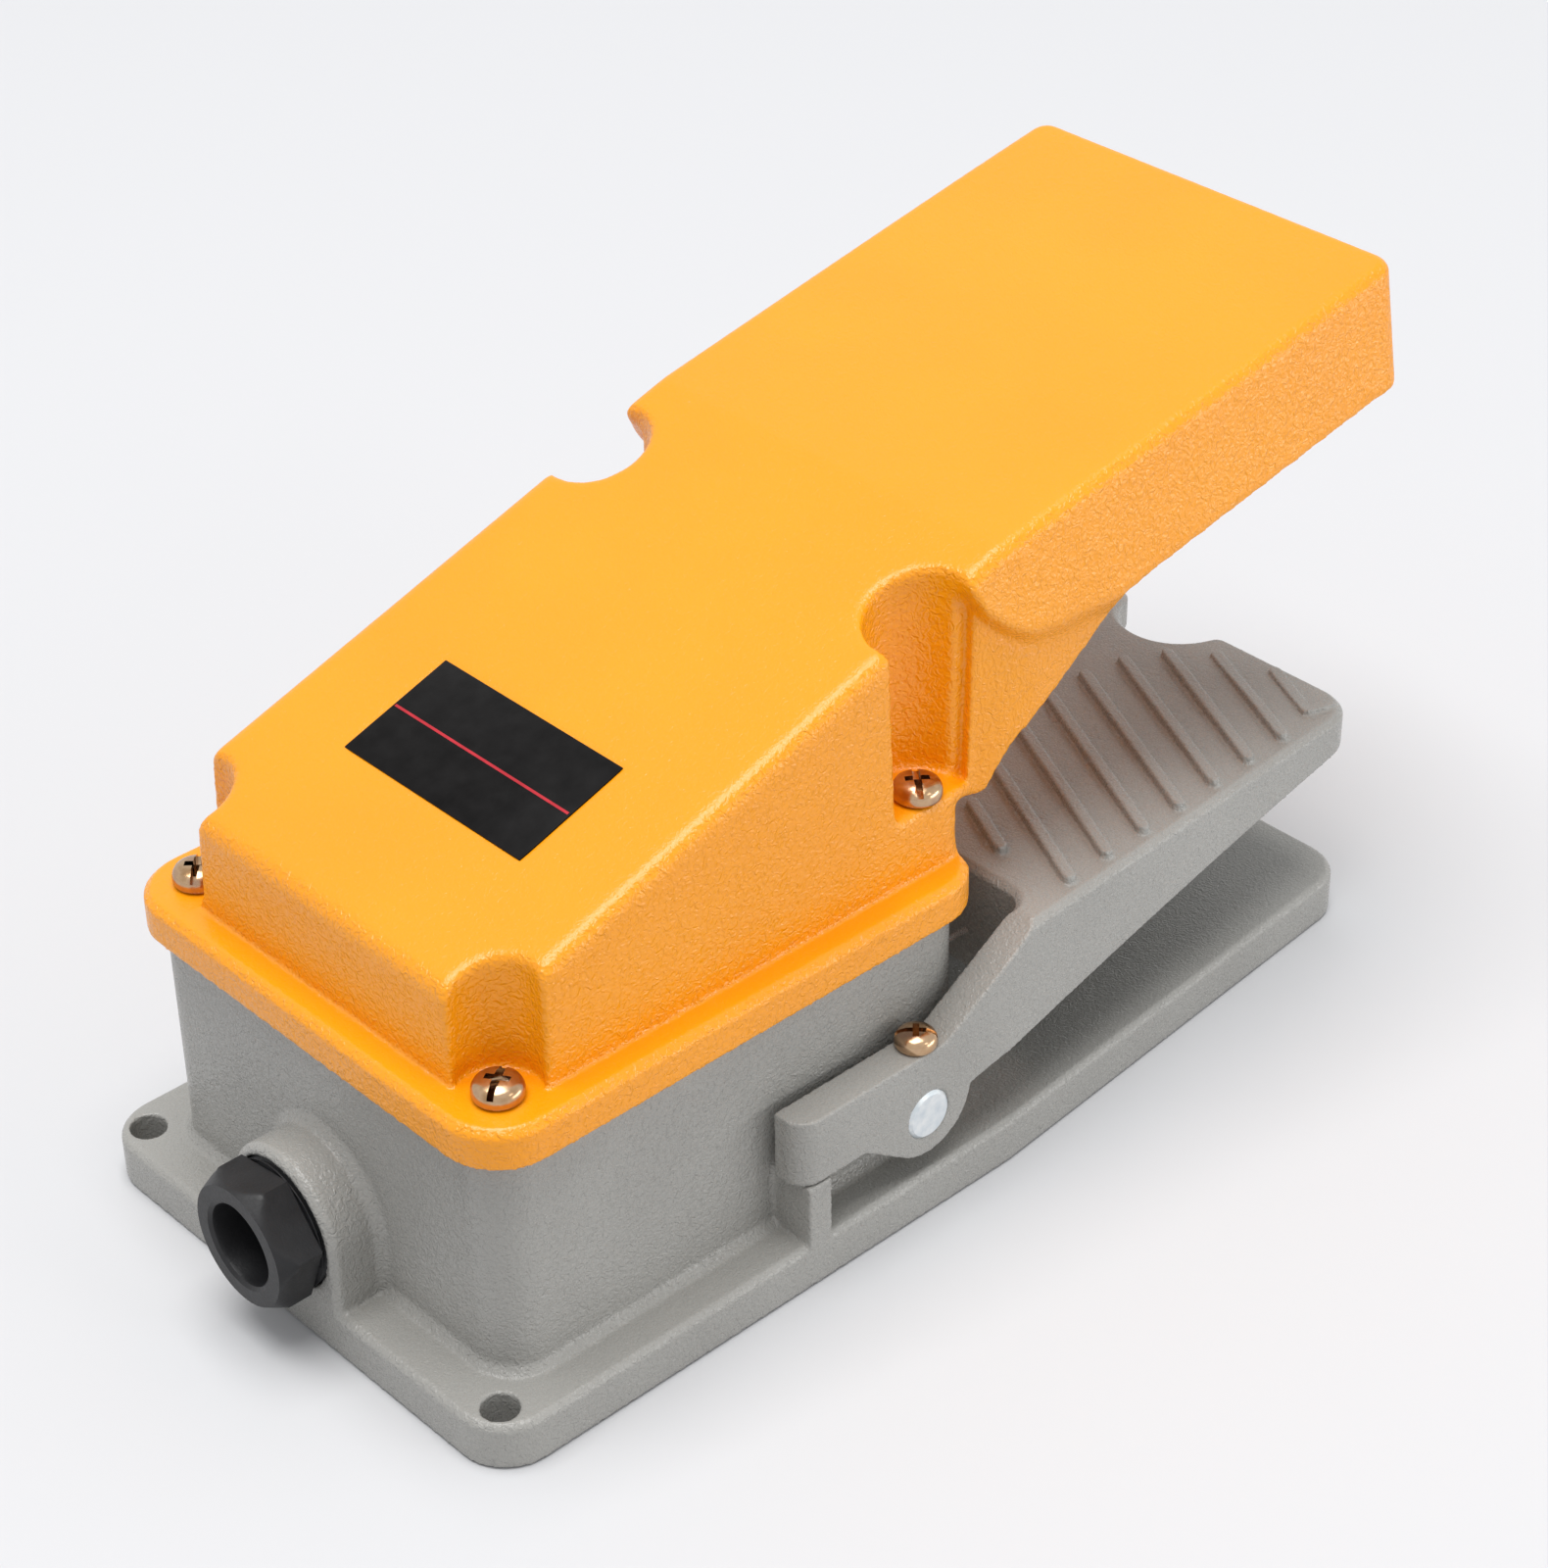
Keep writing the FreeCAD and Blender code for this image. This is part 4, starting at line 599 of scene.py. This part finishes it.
ROOF_TILT = math.atan(0.33)
LINE_Y = 66.3 * MM
LINE_HALF = 23.6 * MM
LINE_HALF_WIDTH = 0.27 * MM
LINE_CLEAR = 0.01 * MM
LINE_RISE = 0.03 * MM
PLATE_THICKNESS = 0.5 * MM


def build_line(work):
    """Raised printed line across the plate, between its rounded ends."""
    low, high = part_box("rating_plate")
    normal = Vector((0.0, math.sin(ROOF_TILT), math.cos(ROOF_TILT)))
    along = Vector((0.0, -math.cos(ROOF_TILT), math.sin(ROOF_TILT)))
    front = low.y + PLATE_THICKNESS * math.sin(ROOF_TILT)
    height = high.z - (LINE_Y - front) * math.tan(ROOF_TILT)
    middle = Vector((0.0, LINE_Y, height)) + normal * LINE_CLEAR
    for x in (-LINE_HALF, LINE_HALF):
        for side in (-1, 1):
            work.verts.new(middle + Vector((x, 0, 0)) + along * side * LINE_HALF_WIDTH)
    work.verts.ensure_lookup_table()
    a, b, c, d = work.verts
    face = work.faces.new((a, b, d, c))
    grown = bmesh.ops.extrude_face_region(work, geom=[face])
    for item in grown["geom"]:
        if isinstance(item, bmesh.types.BMVert):
            item.co += normal * LINE_RISE


line = object_from("rating_plate_line", build_line, LINE, False)
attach(line, "base")

for node, material in CAD_FINISH.items():
    finish_node(node, material)


# Studio: floor, backdrop, lights and camera

FLOOR_HALF = 6.0
FLOOR_Z = -0.3 * MM        # just under the base, so that the two never share a face


def studio_floor():
    material, tree, shader, where = new_material("studio_floor")
    shader.inputs["Base Color"].default_value = (0.66, 0.66, 0.67, 1.0)
    shader.inputs["Roughness"].default_value = 0.7
    shader.inputs["Specular IOR Level"].default_value = 0.2

    def build(work):
        bmesh.ops.create_grid(work, x_segments=1, y_segments=1, size=FLOOR_HALF)

    floor = object_from("floor", build, material, False)
    floor.location = (0.0, 0.0, FLOOR_Z)


def area_light(name, location, target, size, power):
    data = bpy.data.lights.new(name, "AREA")
    data.shape = "RECTANGLE"
    data.size, data.size_y = size
    data.energy = power
    light = bpy.data.objects.new(name, data)
    light.location = location
    light.rotation_euler = (Vector(target) - Vector(location)).to_track_quat("-Z", "Y").to_euler()
    bpy.context.scene.collection.objects.link(light)


def world_light(colour, strength, seen):
    """Even light from all round; the camera and reflections see the pale backdrop instead."""
    world = bpy.data.worlds.new("studio")
    bpy.context.scene.world = world
    world.use_nodes = True
    tree = world.node_tree
    tree.nodes.clear()
    output = tree.nodes.new("ShaderNodeOutputWorld")
    light = tree.nodes.new("ShaderNodeBackground")
    light.inputs["Color"].default_value = (*colour, 1.0)
    light.inputs["Strength"].default_value = strength
    back = tree.nodes.new("ShaderNodeBackground")
    back.inputs["Color"].default_value = (*seen, 1.0)
    back.inputs["Strength"].default_value = 1.0
    path = tree.nodes.new("ShaderNodeLightPath")
    mix = tree.nodes.new("ShaderNodeMixShader")
    seen_by = path.outputs["Is Camera Ray"]
    for kind in ("Is Glossy Ray", "Is Transmission Ray"):
        total = tree.nodes.new("ShaderNodeMath")
        total.operation = "ADD"
        total.use_clamp = True
        tree.links.new(seen_by, total.inputs[0])
        tree.links.new(path.outputs[kind], total.inputs[1])
        seen_by = total.outputs[0]
    tree.links.new(seen_by, mix.inputs["Fac"])
    tree.links.new(light.outputs["Background"], mix.inputs[1])
    tree.links.new(back.outputs["Background"], mix.inputs[2])
    tree.links.new(mix.outputs["Shader"], output.inputs["Surface"])


studio_floor()
world_light((0.95, 0.97, 1.0), 0.54, (0.86, 0.86, 0.862))
area_light("overhead", (0.05, 0.3, 3.0), (0.0, 0.0, 0.05), (2.2, 2.2), 87.0)
area_light("right_fill", (-1.1, -0.3, 0.8), (0.0, 0.0, 0.08), (0.3, 0.25), 0.8)
area_light("front_low", (-0.95, -0.68, 0.13), (0.0, 0.0, 0.1), (0.9, 0.22), 3.4)

CAMERA_PLACE = (-0.41975, 0.38087, 0.44264)
CAMERA_RIGHT = (-0.68104, -0.73211, -0.01398)
CAMERA_UP = (0.40172, -0.38952, 0.82879)
LENS = 83.363


def studio_camera():
    """Camera whose place and lens were solved from the object's straight edges."""
    data = bpy.data.cameras.new("camera")
    data.lens = LENS
    data.sensor_width = 36.0
    data.sensor_fit = "AUTO"
    data.clip_start = 0.01
    data.clip_end = 50.0
    camera = bpy.data.objects.new("camera", data)
    right = Vector(CAMERA_RIGHT).normalized()
    up = Vector(CAMERA_UP).normalized()
    back = right.cross(up)
    turned = Matrix((right, up, back)).transposed().to_4x4()
    camera.matrix_world = Matrix.Translation(CAMERA_PLACE) @ turned
    bpy.context.scene.collection.objects.link(camera)
    bpy.context.scene.camera = camera


studio_camera()
bpy.context.scene.view_settings.view_transform = "Standard"

bpy.context.view_layer.update()
